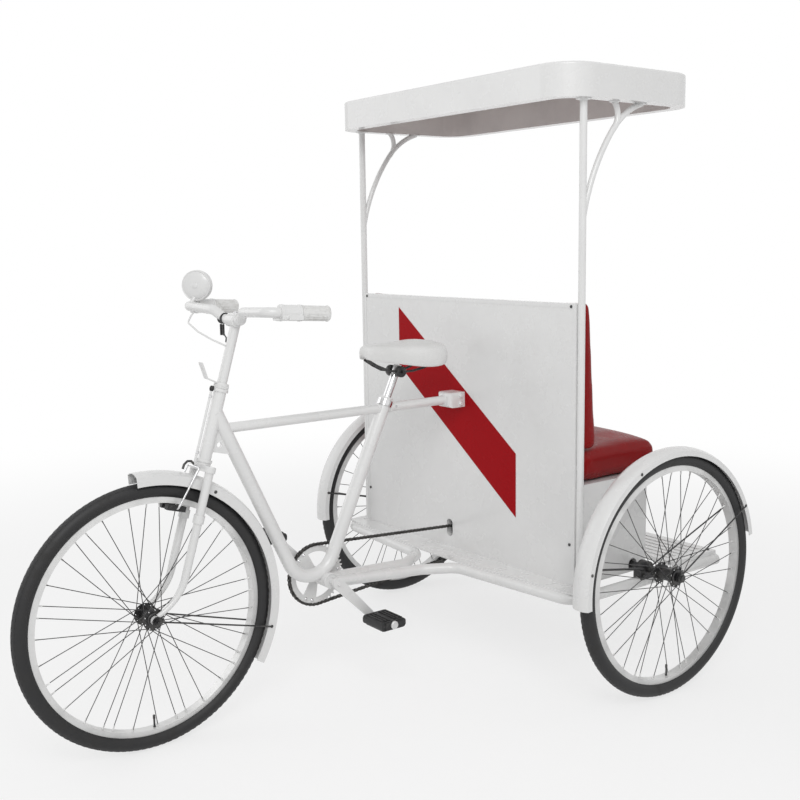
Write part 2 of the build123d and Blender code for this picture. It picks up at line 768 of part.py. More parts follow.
with BuildPart() as chain:
    with BuildSketch(side(chain_y)):
        add(belt(chain_t / 2))
    extrude(amount=chain_half, both=True)
    with BuildSketch(side(chain_y)):
        add(belt(-chain_t / 2))
    extrude(amount=2 * chain_half, both=True, mode=Mode.SUBTRACT)
export(chain, "chain")

ring_r = ring_pitch_r - chain_t / 2 - chain_gap
sprocket_r = sprocket_pitch_r - chain_t / 2 - chain_gap
with BuildPart() as sprocket:
    add(disc(rear_x, chain_y, wheel_r, sprocket_r, plate_t / 2))
    add(disc(rear_x, chain_y, wheel_r, sprocket_hub_r, sprocket_hub_half))
    add(disc(rear_x, chain_y, wheel_r, axle_r, 2 * sprocket_hub_half), mode=Mode.SUBTRACT)
export(sprocket, "sprocket")

with BuildPart() as chainring:
    with BuildSketch(side(chain_y)):
        with Locations((rear_x + bb_u, bb_z)):
            Circle(ring_r)
            Circle(ring_r - ring_band, mode=Mode.SUBTRACT)
            Circle(spider_r)
            with PolarLocations(0, spider_arms, start_angle=spider_turn):
                arm_end = ring_r - ring_band / 2
                Polygon((0, -spindle_r), (arm_end, -spider_r), (arm_end, spider_r), (0, spindle_r),
                        align=None)
            Circle(spindle_r, mode=Mode.SUBTRACT)
    extrude(amount=plate_t / 2, both=True)
export(chainring, "chainring")

crank_turns = {1: radians(180 + crank_angle), -1: radians(crank_angle)}


def pedal_spot(hand):
    return (rear_x + bb_u + crank_len * cos(crank_turns[hand]), bb_z + crank_len * sin(crank_turns[hand]))


with BuildPart() as cranks:
    add(disc(rear_x + bb_u, 0, bb_z, spindle_r, crank_y + crank_t / 2))
    for hand in (1, -1):
        pedal_x, pedal_z = pedal_spot(hand)
        with BuildSketch(side(hand * crank_y)):
            with Locations((rear_x + bb_u, bb_z)):
                Circle(crank_root_r)
            with Locations((pedal_x, pedal_z)):
                Circle(crank_tip_r)
            make_hull()
        extrude(amount=crank_t / 2, both=True)
        pin_end = hand * (pedal_y + pedal_half - pedal_pin_inset)
        add(rod((pedal_x, hand * crank_y, pedal_z), (pedal_x, pin_end, pedal_z), pedal_pin_r))
export(cranks, "cranks")

for hand, name in ((1, "left"), (-1, "right")):
    with BuildPart() as pedal:
        with BuildSketch(side(hand * pedal_y)):
            with Locations(pedal_spot(hand)):
                RectangleRounded(pedal_len, pedal_h, pedal_h / 2.6)
                Circle(pedal_pin_r + free_gap, mode=Mode.SUBTRACT)
        extrude(amount=pedal_half, both=True)
    export(pedal, f"pedal_{name}")

# ---- fork --------------------------------------------------------------------------
with BuildPart() as fork_crown:
    with BuildSketch(head_plane(crown_s)):
        SlotCenterToCenter(2 * fork_half, 2 * (stanchion_r + crown_wall), rotation=90)
    extrude(amount=crown_h)
    with BuildSketch(head_plane(crown_s)):
        Circle(steerer_r)
    extrude(amount=stem_low - crown_s)
    with BuildSketch(head_plane(crown_s + crown_h)):
        Circle(race_r)
    extrude(amount=race_h - turn_gap)
    with BuildSketch(head_plane(lock_s - lock_h)):
        Circle(race_r)
    extrude(amount=lock_h)
export(fork_crown, "fork_crown")

collar_s = crown_s - stanchion_h
with BuildPart() as fork_stanchions:
    for hand in (1, -1):
        with BuildSketch(head_plane(collar_s, 0, hand * fork_half)):
            Circle(stanchion_r)
        extrude(amount=stanchion_h)
        with BuildSketch(head_plane(collar_s - collar_h / 2, 0, hand * fork_half)):
            Circle(collar_r)
        extrude(amount=collar_h)
export(fork_stanchions, "fork_stanchions")

with BuildPart() as fork_blades:
    for hand in (1, -1):
        leg = hand * fork_half
        with BuildSketch(head_plane(collar_s - collar_h / 2, 0, leg)):
            Circle(blade_top_r)
        with BuildSketch(head_plane(blade_bend_s, 0, leg)):
            Circle(blade_mid_r)
        loft()
        with BuildLine() as rake:
            TangentArc(head_point(blade_bend_s, 0, leg), head_point(blade_end_s, fork_offset - 2, leg),
                       tangent=-axis_up)
        with BuildSketch(Plane(origin=rake.line @ 0, z_dir=rake.line % 0)):
            Circle(blade_mid_r)
        with BuildSketch(Plane(origin=rake.line @ 1, z_dir=rake.line % 1)):
            Circle(blade_low_r)
        sweep(path=rake.line, multisection=True)
        add(disc(front_x, leg, wheel_r, dropout_r, dropout_t / 2))
    add(disc(front_x, 0, wheel_r, front_axle_r, 2 * fork_half), mode=Mode.SUBTRACT)
export(fork_blades, "fork_blades")

# ---- handlebar ---------------------------------------------------------------------
bar_x, _, bar_z = head_point(stem_top_s, bar_set)
with BuildPart() as stem:
    with BuildSketch(head_plane(stem_low)):
        Circle(stem_r)
    extrude(amount=stem_top_s - stem_low)
    add(disc(bar_x, 0, bar_z, bar_r + bar_clamp_wall, bar_clamp_half))
    add(disc(bar_x, 0, bar_z, bar_r, 2 * bar_clamp_half), mode=Mode.SUBTRACT)
export(stem, "stem")


def grip_run(hand):
    """End of the grip, and the direction of the bar from there forward."""
    end = Vector(bar_x - grip_end_back, hand * bar_half, bar_z + bar_rise - grip_drop)
    corner = Vector(bar_x + bar_reach, hand * bar_corner, bar_z + bar_rise)
    return end, (corner - end).normalized()


# Left half of the bar's route, from the clamp out: ahead of the clamp, side, above the clamp.
bar_half_route = ((0, 2 * bar_clamp_half, 0), (bar_reach * 0.6, 4 * bar_clamp_half, bar_rise * 0.8),
                  (bar_reach, bar_corner, bar_rise), (-grip_end_back, bar_half, bar_rise - grip_drop))
with BuildPart() as handlebar:
    left = [(bar_x + ahead, y, bar_z + up) for ahead, y, up in reversed(bar_half_route)]
    right = [(bar_x + ahead, -y, bar_z + up) for ahead, y, up in bar_half_route]
    add(bent_tube(left + right, bar_bend, bar_r))
export(handlebar, "handlebar")

with BuildPart() as grips:
    for hand in (1, -1):
        end, run = grip_run(hand)
        add(rod(tuple(end - run * grip_cap), tuple(end + run * grip_len), grip_r))
    add(handlebar.part, mode=Mode.SUBTRACT)
export(grips, "grips")

with BuildPart() as brake_levers:
    for hand in (1, -1):
        end, run = grip_run(hand)
        start = end + run * (grip_len + free_gap)
        add(rod(tuple(start), tuple(start + run * perch_len), perch_r))
        with BuildSketch(Plane(origin=tuple(start), x_dir=(0, 0, 1), z_dir=run)):
            with Locations((-perch_r / 2, -hand * perch_r)):
                Rectangle(lever_w, lever_t)
        extrude(amount=perch_len)
    add(handlebar.part, mode=Mode.SUBTRACT)
export(brake_levers, "brake_levers")

bell_spot = Vector(bar_x, -bell_side, bar_z + bell_rise)
with BuildPart() as bell:
    bell_face = (cos(radians(bell_turn)), sin(radians(bell_turn)), 0)
    with BuildSketch(Plane(origin=tuple(bell_spot), z_dir=bell_face)):
        Circle(bell_r)
    extrude(amount=bell_t / 2, both=True)
    fillet(bell.edges().filter_by(GeomType.CIRCLE), bell_round)
    add(rod((bar_x + bar_reach, -bell_side, bar_z + bar_rise), tuple(bell_spot - Vector(0, 0, bell_r / 2)),
            bell_stalk_r))
    add(handlebar.part, mode=Mode.SUBTRACT)
export(bell, "bell")

strap_low = Vector(*head_point(lock_s + lamp_strap_t / 2, race_r - lamp_strap_t))
strap_bend = Vector(*head_point(lock_s + 2 * lamp_strap_t, lamp_reach))
strap_tip = strap_bend + Vector(lamp_lean, 0, lamp_rise)
with BuildPart() as lamp_bracket:
    with BuildSketch(head_plane(lock_s)):
        Circle(race_r)
        Circle(steerer_r, mode=Mode.SUBTRACT)
    extrude(amount=lamp_strap_t)
    with BuildSketch(side(0)):
        with BuildLine():
            Polyline((strap_low.X, strap_low.Z), (strap_bend.X, strap_bend.Z), (strap_tip.X, strap_tip.Z))
        trace(line_width=lamp_strap_t)
    extrude(amount=lamp_strap_half, both=True)
    hole_spot = strap_bend + (strap_tip - strap_bend) * lamp_hole_at
    with BuildSketch(Plane(origin=tuple(hole_spot), z_dir=(lamp_rise, 0, -lamp_lean))):
        Circle(lamp_hole_r)
    extrude(amount=2 * lamp_strap_t, both=True, mode=Mode.SUBTRACT)
export(lamp_bracket, "lamp_bracket")

# ---- stirrup brake: a pull rod in front of the head tube lifts two pads to the rim ---
yoke_fwd = stanchion_r + brake_ahead
yoke_s = crown_s + crown_h / 2
arm_y = fender_w / 2 + brake_r + 1
pad_r = rim_low - pad_drop
with BuildPart() as brake_pads:
    pad_up = (cos(radians(pad_angle)), 0, sin(radians(pad_angle)))
    for hand in (1, -1):
        pad_spot = wheel_point(front_x, hand * pad_y, pad_angle, pad_r)
        with BuildSketch(Plane(origin=pad_spot, x_dir=(0, 1, 0), z_dir=pad_up)):
            Rectangle(pad_w, pad_len)
        extrude(amount=pad_t / 2, both=True)
export(brake_pads, "brake_pads")

with BuildPart() as front_brake:
    left, right = [[wheel_point(front_x, hand * pad_y, pad_angle, pad_r),
                    wheel_point(front_x, hand * arm_y, pad_angle, pad_r),
                    head_point(yoke_s, yoke_fwd, hand * arm_y)] for hand in (1, -1)]
    add(bent_tube(left + right[::-1], 2 * brake_r, brake_r))
    add(brake_pads.part, mode=Mode.SUBTRACT)
export(front_brake, "front_brake")

with BuildPart() as brake_rod:
    add(rod(head_point(yoke_s, yoke_fwd), head_point(lock_s - lock_h - cup_h, yoke_fwd), pull_r))
    add(front_brake.part, mode=Mode.SUBTRACT)
export(brake_rod, "brake_rod")

# Cable loop from the right end of the bar, ahead of the clamp and back to the stem:
# ahead of the clamp, side, above the clamp.
cable_points = ((22, -175, 20), (40, -165, 6), (62, -140, -10), (56, -95, -32), (42, -50, -50))
with BuildPart() as brake_cable:
    loop = [(bar_x + ahead, y, bar_z + up) for ahead, y, up in cable_points]
    loop.append(head_point(stem_top_s - 4 * bar_clamp_half + 10, stem_r + 2))
    add(bent_tube(loop, cable_r * 5, cable_r))
    add(handlebar.part, mode=Mode.SUBTRACT)
    add(stem.part, mode=Mode.SUBTRACT)
export(brake_cable, "brake_cable")

# ---- trim --------------------------------------------------------------------------
with BuildPart() as panel_stripe:
    with BuildSketch(facing(at(panel_u, 0, panel_low))):
        with BuildLine():
            Polyline((stripe_right, stripe_right_up + stripe_h / 2),
                     (stripe_right, stripe_right_up - stripe_h / 2),
                     (stripe_left, stripe_left_up - stripe_h / 2),
                     (stripe_left, stripe_left_up + stripe_h / 2), close=True)
        make_face()
    extrude(amount=stripe_t)
    add(panel_boss.part, mode=Mode.SUBTRACT)
export(panel_stripe, "panel_stripe")
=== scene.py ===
import json
from math import atan2, cos, pi, radians, sin, sqrt

import bmesh
import bpy
import numpy as np
from mathutils import Matrix, Vector


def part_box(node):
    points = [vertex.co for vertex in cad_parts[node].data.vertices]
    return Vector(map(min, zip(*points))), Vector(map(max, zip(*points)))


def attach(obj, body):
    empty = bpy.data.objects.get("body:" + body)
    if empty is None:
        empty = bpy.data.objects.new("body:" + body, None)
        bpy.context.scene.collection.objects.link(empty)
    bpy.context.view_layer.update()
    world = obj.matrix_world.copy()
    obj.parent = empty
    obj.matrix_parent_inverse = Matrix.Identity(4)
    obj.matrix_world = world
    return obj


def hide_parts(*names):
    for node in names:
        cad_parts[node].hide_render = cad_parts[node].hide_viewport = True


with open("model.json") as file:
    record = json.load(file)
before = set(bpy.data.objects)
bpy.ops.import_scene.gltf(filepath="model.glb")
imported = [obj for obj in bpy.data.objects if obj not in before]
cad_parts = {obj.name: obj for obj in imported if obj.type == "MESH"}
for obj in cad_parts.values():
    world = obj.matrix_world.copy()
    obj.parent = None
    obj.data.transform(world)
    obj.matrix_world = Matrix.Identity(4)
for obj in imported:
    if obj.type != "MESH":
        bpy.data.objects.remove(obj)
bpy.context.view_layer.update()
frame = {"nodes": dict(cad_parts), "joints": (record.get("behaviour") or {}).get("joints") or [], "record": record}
nodes = frame["nodes"]
jointAt = {joint["name"]: Vector(joint["pos_m"]) for joint in frame["joints"]}
sides = (1, -1)  # left and right
print("frame loaded:", len(nodes), "nodes")


# Camera: stands ahead of the rickshaw on its left and looks slightly down
view = {"place": (1.739, 2.5155, 1.2923), "heading": -2.2196, "down": 0.1458, "roll": 0.0152, "lens": 48.68}


def makeCamera():
    heading, down, roll = view["heading"], view["down"], view["roll"]
    ahead = Vector((cos(heading) * cos(down), sin(heading) * cos(down), -sin(down)))
    across = ahead.cross(Vector((0, 0, 1))).normalized()
    below = ahead.cross(across)
    right = across * cos(roll) + below * sin(roll)
    under = below * cos(roll) - across * sin(roll)
    camera = bpy.data.objects.new("camera", bpy.data.cameras.new("camera"))
    bpy.context.scene.collection.objects.link(camera)
    turn = Matrix((right, -under, -ahead)).transposed()
    camera.matrix_world = Matrix.Translation(view["place"]) @ turn.to_4x4()
    camera.data.lens = view["lens"]
    camera.data.sensor_width = 36
    bpy.context.scene.camera = camera


makeCamera()


# Node trees: a wire is one output, and sums on wires add the Math nodes
class Wire:
    def __init__(self, board, socket):
        self.board = board
        self.socket = socket

    def math(self, operation, *others):
        return self.board.add("ShaderNodeMath", {"operation": operation}, dict(enumerate((self,) + others)))

    def __add__(self, other):
        return self.math("ADD", other)

    def __radd__(self, other):
        return self.math("ADD", other)

    def __mul__(self, other):
        return self.math("MULTIPLY", other)

    def __rmul__(self, other):
        return self.math("MULTIPLY", other)

    def __sub__(self, other):
        return self.math("SUBTRACT", other)

    def __rsub__(self, other):
        return (self * -1) + other

    def __truediv__(self, other):
        return self.math("DIVIDE", other)

    def out(self, name):  # another output of the same node
        return Wire(self.board, self.socket.node.outputs[name])


class Board:
    def __init__(self, tree):
        self.tree = tree
        tree.nodes.clear()

    # settings go first, a ramp's stops among them, then values or wires by socket name or number
    def add(self, kind, settings=None, sockets=None):
        node = self.tree.nodes.new(kind)
        for name, value in (settings or {}).items():
            if name == "stops":
                ramp = node.color_ramp
                while len(ramp.elements) < len(value):
                    ramp.elements.new(0.5)
                for element, (place, colour) in zip(ramp.elements, value):
                    element.position = place
                    element.color = (*colour, 1) if len(colour) == 3 else colour
            else:
                setattr(node, name, value)
        for name, value in (sockets or {}).items():
            self.feed(node.inputs[name], value)
        return Wire(self, node.outputs[0]) if node.outputs else node

    def feed(self, socket, value):
        if isinstance(value, Wire):
            self.tree.links.new(value.socket, socket)
        elif socket.type == "RGBA" and len(value) == 3:
            socket.default_value = (*value, 1)
        else:
            socket.default_value = value


class Finish(Board):
    def __init__(self, name):
        self.material = bpy.data.materials.new(name)
        self.material.use_nodes = True
        super().__init__(self.material.node_tree)
        self.place = self.add("ShaderNodeTexCoord").out("Object")

    def noise(self, scale, detail=2, rough=0.5, place=None):
        return self.add("ShaderNodeTexNoise", None,
                        {"Vector": place or self.place, "Scale": scale, "Detail": detail, "Roughness": rough})

    def cells(self, scale, place):  # how far it is to the edge of a cell
        return self.add("ShaderNodeTexVoronoi", {"feature": "DISTANCE_TO_EDGE"},
                        {"Vector": place, "Scale": scale})

    def stretched(self, scale):
        return self.add("ShaderNodeMapping", None, {"Vector": self.place, "Scale": scale})

    def ramp(self, value, *stops):
        return self.add("ShaderNodeValToRGB", {"stops": stops}, {"Fac": value})

    def span(self, value, low, high, outLow, outHigh):  # smooth step from low to high
        return self.add("ShaderNodeMapRange", {"interpolation_type": "SMOOTHSTEP"},
                        {"Value": value, "From Min": low, "From Max": high,
                         "To Min": outLow, "To Max": outHigh})

    def mix(self, factor, first, second):
        node = self.tree.nodes.new("ShaderNodeMix")
        node.data_type = "RGBA"
        for number, value in ((0, factor), (6, first), (7, second)):
            self.feed(node.inputs[number], value)
        return Wire(self, node.outputs[2])

    def bump(self, height, distance, strength=1.0, normal=None):
        sockets = {"Height": height, "Distance": distance, "Strength": strength}
        if normal:
            sockets["Normal"] = normal
        return self.add("ShaderNodeBump", None, sockets)

    def surface(self, **values):
        names = {"colour": "Base Color", "rough": "Roughness", "metal": "Metallic", "normal": "Normal",
                 "coat": "Coat Weight", "coatRough": "Coat Roughness", "specular": "Specular IOR Level",
                 "sheen": "Sheen Weight", "sheenRough": "Sheen Roughness", "sheenTint": "Sheen Tint",
                 "anisotropy": "Anisotropic"}
        sockets = {names[key]: value for key, value in values.items()}
        shader = self.add("ShaderNodeBsdfPrincipled", None, sockets)
        self.add("ShaderNodeOutputMaterial", None, {"Surface": shader})
        return self.material


# Stage: pale floor that keeps the shadow and glows further out, white surroundings and soft lamps
studio = {"surround": 0.54, "floorTone": 0.9, "floorGlow": 0.68, "floorFade": (1.5, 4.5),
          "key": {"place": (2.5, 3.9, 4.2), "aim": (0, 0, 0.7), "size": 3.0, "power": 120},
          "fill": {"place": (2.6, -4.0, 2.6), "aim": (0, 0, 0.7), "size": 3.5, "power": 35}}


def seenMirrored(board):  # one for rays that come by a mirror or through glass
    path = board.add("ShaderNodeLightPath")
    glossy = path.out("Is Glossy Ray")
    clear = path.out("Is Transmission Ray")
    return path.math("MAXIMUM", glossy).math("MAXIMUM", clear)


def makeStage():
    world = bpy.data.worlds.new("surroundings")
    bpy.context.scene.world = world
    world.use_nodes = True
    board = Board(world.node_tree)
    strength = seenMirrored(board) * (1 - studio["surround"]) + studio["surround"]
    sky = board.add("ShaderNodeBackground", None, {"Color": (1, 1, 1), "Strength": strength})
    board.add("ShaderNodeOutputWorld", None, {"Surface": sky})

    floorMesh = bpy.data.meshes.new("floor")
    floorMesh.from_pydata([(-40, -40, 0), (40, -40, 0), (40, 40, 0), (-40, 40, 0)], [], [(0, 1, 2, 3)])
    floor = bpy.data.objects.new("floor", floorMesh)
    bpy.context.scene.collection.objects.link(floor)
    finish = Finish("floor")
    tone = finish.span(finish.noise(1.3, 3), 0.3, 0.7, studio["floorTone"] - 0.01, studio["floorTone"])
    matt = finish.add("ShaderNodeBsdfDiffuse", None, {"Color": tone})
    glow = finish.add("ShaderNodeEmission", None, {"Color": (1, 1, 1), "Strength": 1})
    away = finish.add("ShaderNodeVectorMath", {"operation": "LENGTH"}, {0: finish.place}).out("Value")
    share = finish.span(away, *studio["floorFade"], studio["floorGlow"], 1)
    shown = finish.add("ShaderNodeMixShader", None, {0: seenMirrored(finish) * share, 1: matt, 2: glow})
    finish.add("ShaderNodeOutputMaterial", None, {"Surface": shown})
    floorMesh.materials.append(finish.material)

    for name in ("key", "fill"):
        lamp = studio[name]
        light = bpy.data.objects.new(name, bpy.data.lights.new(name, "AREA"))
        bpy.context.scene.collection.objects.link(light)
        light.data.size = lamp["size"]
        light.data.energy = lamp["power"]
        place = Vector(lamp["place"])
        look = (Vector(lamp["aim"]) - place).to_track_quat("-Z", "Y")
        light.matrix_world = Matrix.Translation(place) @ look.to_matrix().to_4x4()
    bpy.context.scene.view_settings.view_transform = "Standard"


makeStage()
print("camera and stage set")


# Finishes
def enamel(name, colour, dust, specular=0.5, coat=0.35):
    finish = Finish(name)
    shade = tuple(0.955 * part for part in colour)
    body = finish.mix(finish.span(finish.noise(3.1, 4, 0.6), 0.35, 0.7, 0, 1), shade, colour)
    height = finish.add("ShaderNodeSeparateXYZ", None, {0: finish.place}).out("Z")
    speck = finish.span(finish.noise(46, 5, 0.7), 0.6, 0.74, 0, 1)
    film = finish.span(finish.noise(9, 4, 0.65), 0.4, 0.75, 0, 1)
    low = finish.span(height, 0.5, 0.05, 0, 1)
    dusty = finish.mix(film * low * 0.16 + speck * low * 0.12, body, dust)
    worn = finish.mix(speck * film * 0.04, dusty, tuple(0.6 * part for part in colour))
    peel = finish.bump(finish.noise(420, 2), 0.00005, 0.3)
    normal = finish.bump(finish.noise(24, 3), 0.0003, 0.1, peel)
    return finish.surface(colour=worn, rough=finish.span(film, 0.1, 1, 0.26, 0.4), coat=coat, coatRough=0.12,
                          specular=specular, normal=normal)


def paintWhite():
    return enamel("white enamel", (0.80, 0.80, 0.796), (0.62, 0.60, 0.56))


def stripeRed():
    return enamel("crimson enamel", (0.36, 0.004, 0.008), (0.42, 0.10, 0.10), 0.06, 0.0)


# A colour with stains of a second one: patch and grain are a noise's scale, detail and roughness,
# reach is where the noise turns to stain, and relief a bump's distance and strength
def stained(name, patch, reach, colours, rough, grain, relief, share=1.0, stretch=None, **values):
    finish = Finish(name)
    stain = finish.span(finish.noise(*patch), *reach, 0, 1)
    place = finish.stretched(stretch) if stretch else None
    return finish.surface(colour=finish.mix(stain * share, *colours), rough=finish.span(stain, 0, 1, *rough),
                          normal=finish.bump(finish.noise(*grain, place=place), *relief), **values)


def tyreRubber():
    return stained("tyre rubber", (14, 5, 0.7), (0.45, 0.75), ((0.012, 0.012, 0.013), (0.045, 0.043, 0.04)),
                   (0.55, 0.8), (900, 3, 0.6), (0.0002, 0.5), share=0.45)


def rimMetal():
    finish = Finish("rim alloy")
    brushed = finish.noise(260, 3, 0.6)
    smear = finish.span(finish.noise(11, 4, 0.6), 0.4, 0.75, 0, 1)
    colour = finish.mix(smear, (0.74, 0.74, 0.735), (0.58, 0.58, 0.575))
    rough = finish.span(brushed + smear * 0.4, 0.3, 1.1, 0.3, 0.5)
    return finish.surface(colour=colour, metal=0.35, rough=rough, normal=finish.bump(brushed, 0.00008, 0.4))


def darkSteel():
    finish = Finish("dark steel")
    patch = finish.span(finish.noise(38, 5, 0.7), 0.42, 0.68, 0, 1)
    rust = finish.span(finish.noise(120, 4, 0.7), 0.6, 0.74, 0, 1)
    base = finish.mix(patch, (0.05, 0.05, 0.052), (0.11, 0.108, 0.104))
    colour = finish.mix(rust * 0.35, base, (0.12, 0.07, 0.045))
    rough = finish.span(patch, 0, 1, 0.34, 0.58)
    return finish.surface(colour=colour, metal=0.7, rough=rough,
                          normal=finish.bump(finish.noise(700, 3), 0.0001, 0.5))


def chrome():
    return stained("chrome", (60, 4, 0.65), (0.4, 0.75), ((0.72, 0.72, 0.73), (0.55, 0.545, 0.54)),
                   (0.12, 0.28), (1, 3, 0.6), (0.00005, 0.35), stretch=(900, 900, 60), metal=1.0)


def leatherCloth(name, colour, deep, grain=520, depth=0.0004, rough=(0.3, 0.48), specular=0.35, coat=0.0):
    finish = Finish(name)
    warp = finish.add("ShaderNodeVectorMath", {"operation": "MULTIPLY_ADD"},
                      {0: finish.noise(180, 2).out("Color"), 1: (0.0035, 0.0035, 0.0035), 2: finish.place})
    pebble = finish.cells(grain, warp)
    crease = finish.span(pebble, 0.0, 0.16, 0, 1)
    wear = finish.span(finish.noise(7, 5, 0.65), 0.4, 0.72, 0, 1)
    shade = finish.mix(wear, deep, colour)
    tinted = finish.mix((1 - crease) * 0.45, shade, tuple(0.5 * part for part in deep))
    fine = finish.bump(crease, depth, 0.5)
    normal = finish.bump(finish.noise(34, 4, 0.6), 0.0012, 0.2, fine)
    dull = finish.span(wear + finish.noise(90, 3) * 0.4, 0.2, 1.3, *rough)
    return finish.surface(colour=tinted, rough=dull, specular=specular, coat=coat, coatRough=0.2,
                          normal=normal)


def upholsteryRed():
    return leatherCloth("red vinyl", (0.31, 0.007, 0.008), (0.26, 0.005, 0.006), rough=(0.22, 0.4),
                        specular=0.06, coat=0.12)


def saddleWhite():
    return leatherCloth("white saddle vinyl", (0.84, 0.84, 0.835), (0.79, 0.79, 0.78), 700, 0.00012,
                        (0.36, 0.5), 0.5)


def gripWhite():
    return stained("white grip rubber", (55, 5, 0.7), (0.42, 0.74), ((0.78, 0.78, 0.77), (0.6, 0.595, 0.58)),
                   (0.42, 0.62), (800, 3), (0.00015, 0.5))


def chainSteel():
    return stained("oiled chain steel", (150, 4, 0.7), (0.35, 0.7),
                   ((0.035, 0.033, 0.032), (0.12, 0.115, 0.11)), (0.3, 0.55), (900, 2), (0.0001, 0.4), metal=0.8)


def pedalBlack():
    return stained("pedal rubber", (85, 5, 0.7), (0.5, 0.75), ((0.014, 0.014, 0.015), (0.07, 0.068, 0.066)),
                   (0.5, 0.75), (650, 3), (0.0002, 0.5))


# Painted shade: the sheet under the canopy's roof takes a warm grey darker than the white enamel, standing in for
# the shade that falls there
def canopyShadeGrey():
    return stained("grey lining", (5, 5, 0.65), (0.4, 0.75), ((0.68, 0.64, 0.625), (0.61, 0.57, 0.56)),
                   (0.6, 0.8), (1, 2, 0.5), (0.0001, 0.3), stretch=(40, 700, 700))


finishes = {"paint_white": paintWhite(), "tyre_rubber": tyreRubber(), "rim_metal": rimMetal(),
            "dark_steel": darkSteel(), "chrome": chrome(), "upholstery_red": upholsteryRed(),
            "saddle_white": saddleWhite(), "grip_white": gripWhite(), "stripe_red": stripeRed(),
            "chain_steel": chainSteel(), "pedal_black": pedalBlack(), "lining_grey": canopyShadeGrey()}

for subpart in frame["record"]["subparts"]:  # every node takes its slot's finish
    mesh = nodes[subpart["node"]].data
    mesh.materials.clear()
    mesh.materials.append(finishes[subpart["material_slot"]])


# Shapes: small meshes made from a few sizes, and their places
def turnedTo(origin, along, across=(0, 0, 1)):
    axisZ = Vector(along).normalized()
    axisX = Vector(across) - axisZ * Vector(across).dot(axisZ)
    if axisX.length < 1e-4:
        axisX = axisZ.orthogonal()
    axisX.normalize()
    turn = Matrix((axisX, axisZ.cross(axisX), axisZ)).transposed()
    return Matrix.Translation(origin) @ turn.to_4x4()


def meshFrom(shape, name, smoothAngle=35):
    bmesh.ops.remove_doubles(shape, verts=shape.verts, dist=1e-7)
    bmesh.ops.recalc_face_normals(shape, faces=shape.faces)
    mesh = bpy.data.meshes.new(name)
    shape.to_mesh(mesh)
    shape.free()
    mesh.shade_smooth()
    mesh.set_sharp_from_angle(angle=radians(smoothAngle))
    return mesh


def lathe(profile, segments=40, matrix=Matrix()):  # profile: (radius, height) from one end to the other
    shape = bmesh.new()
    rings = []
    for radius, height in profile:
        if radius < 1e-6:
            rings.append([shape.verts.new(matrix @ Vector((0, 0, height)))] * segments)
        else:
            rings.append([shape.verts.new(matrix @ Vector((radius * cos(2 * pi * n / segments),
                                                           radius * sin(2 * pi * n / segments), height)))
                          for n in range(segments)])
    for low, high in zip(rings, rings[1:]):
        for n in range(segments):
            corners = dict.fromkeys((low[n - 1], low[n], high[n], high[n - 1]))
            if len(corners) > 2:
                shape.faces.new(list(corners))
    for end in (rings[0], rings[-1]):
        if end[0] is not end[1]:
            shape.faces.new(end)
    return shape


def tube(points, radius, around=12, closed=False):  # round rod through the points
    points = [Vector(point) for point in points]
    count = len(points)
    shape = bmesh.new()
    rings = []
    across = None
    for n, point in enumerate(points):
        before = points[n - 1] if closed or n else point
        after = points[(n + 1) % count] if closed or n < count - 1 else point
        along = (after - before).normalized()
        across = along.orthogonal() if across is None else across - along * across.dot(along)
        across.normalize()
        beside = along.cross(across)
        turns = [2 * pi * k / around for k in range(around)]
        rings.append([shape.verts.new(point + (across * cos(turn) + beside * sin(turn)) * radius)
                      for turn in turns])
    if closed:
        rings.append(rings[0])
    for low, high in zip(rings, rings[1:]):
        for k in range(around):
            shape.faces.new((low[k - 1], low[k], high[k], high[k - 1]))
    if not closed:
        shape.faces.new(rings[0])
        shape.faces.new(rings[-1])
    return shape


def circle(place, radius, count=40, up=0.0):
    turns = [2 * pi * n / count for n in range(count)]
    return [place @ Vector((radius * cos(turn), radius * sin(turn), up)) for turn in turns]


def block(size, bevel=0.0, matrix=Matrix(), steps=2):
    shape = bmesh.new()
    bmesh.ops.create_cube(shape, size=1)
    bmesh.ops.scale(shape, vec=size, verts=shape.verts)
    if bevel:
        bmesh.ops.bevel(shape, geom=shape.edges[:], offset=bevel, segments=steps, affect="EDGES")
    bmesh.ops.transform(shape, matrix=matrix, verts=shape.verts)
    return shape


def joined(*shapes):
    whole = bmesh.new()
    for shape in shapes:
        carrier = bpy.data.meshes.new("carrier")
        shape.to_mesh(carrier)
        shape.free()
        whole.from_mesh(carrier)
        bpy.data.meshes.remove(carrier)
    return whole


def addPiece(name, mesh, body, slotName, *stoodFor):
    piece = bpy.data.objects.new(name, mesh)
    bpy.context.scene.collection.objects.link(piece)
    mesh.materials.clear()
    mesh.materials.append(finishes[slotName])
    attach(piece, body)
    if stoodFor:
        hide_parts(*stoodFor)
    return piece


def addParts(name, parts, body, slotName):
    return addPiece(name, meshFrom(joined(*parts), name), body, slotName)


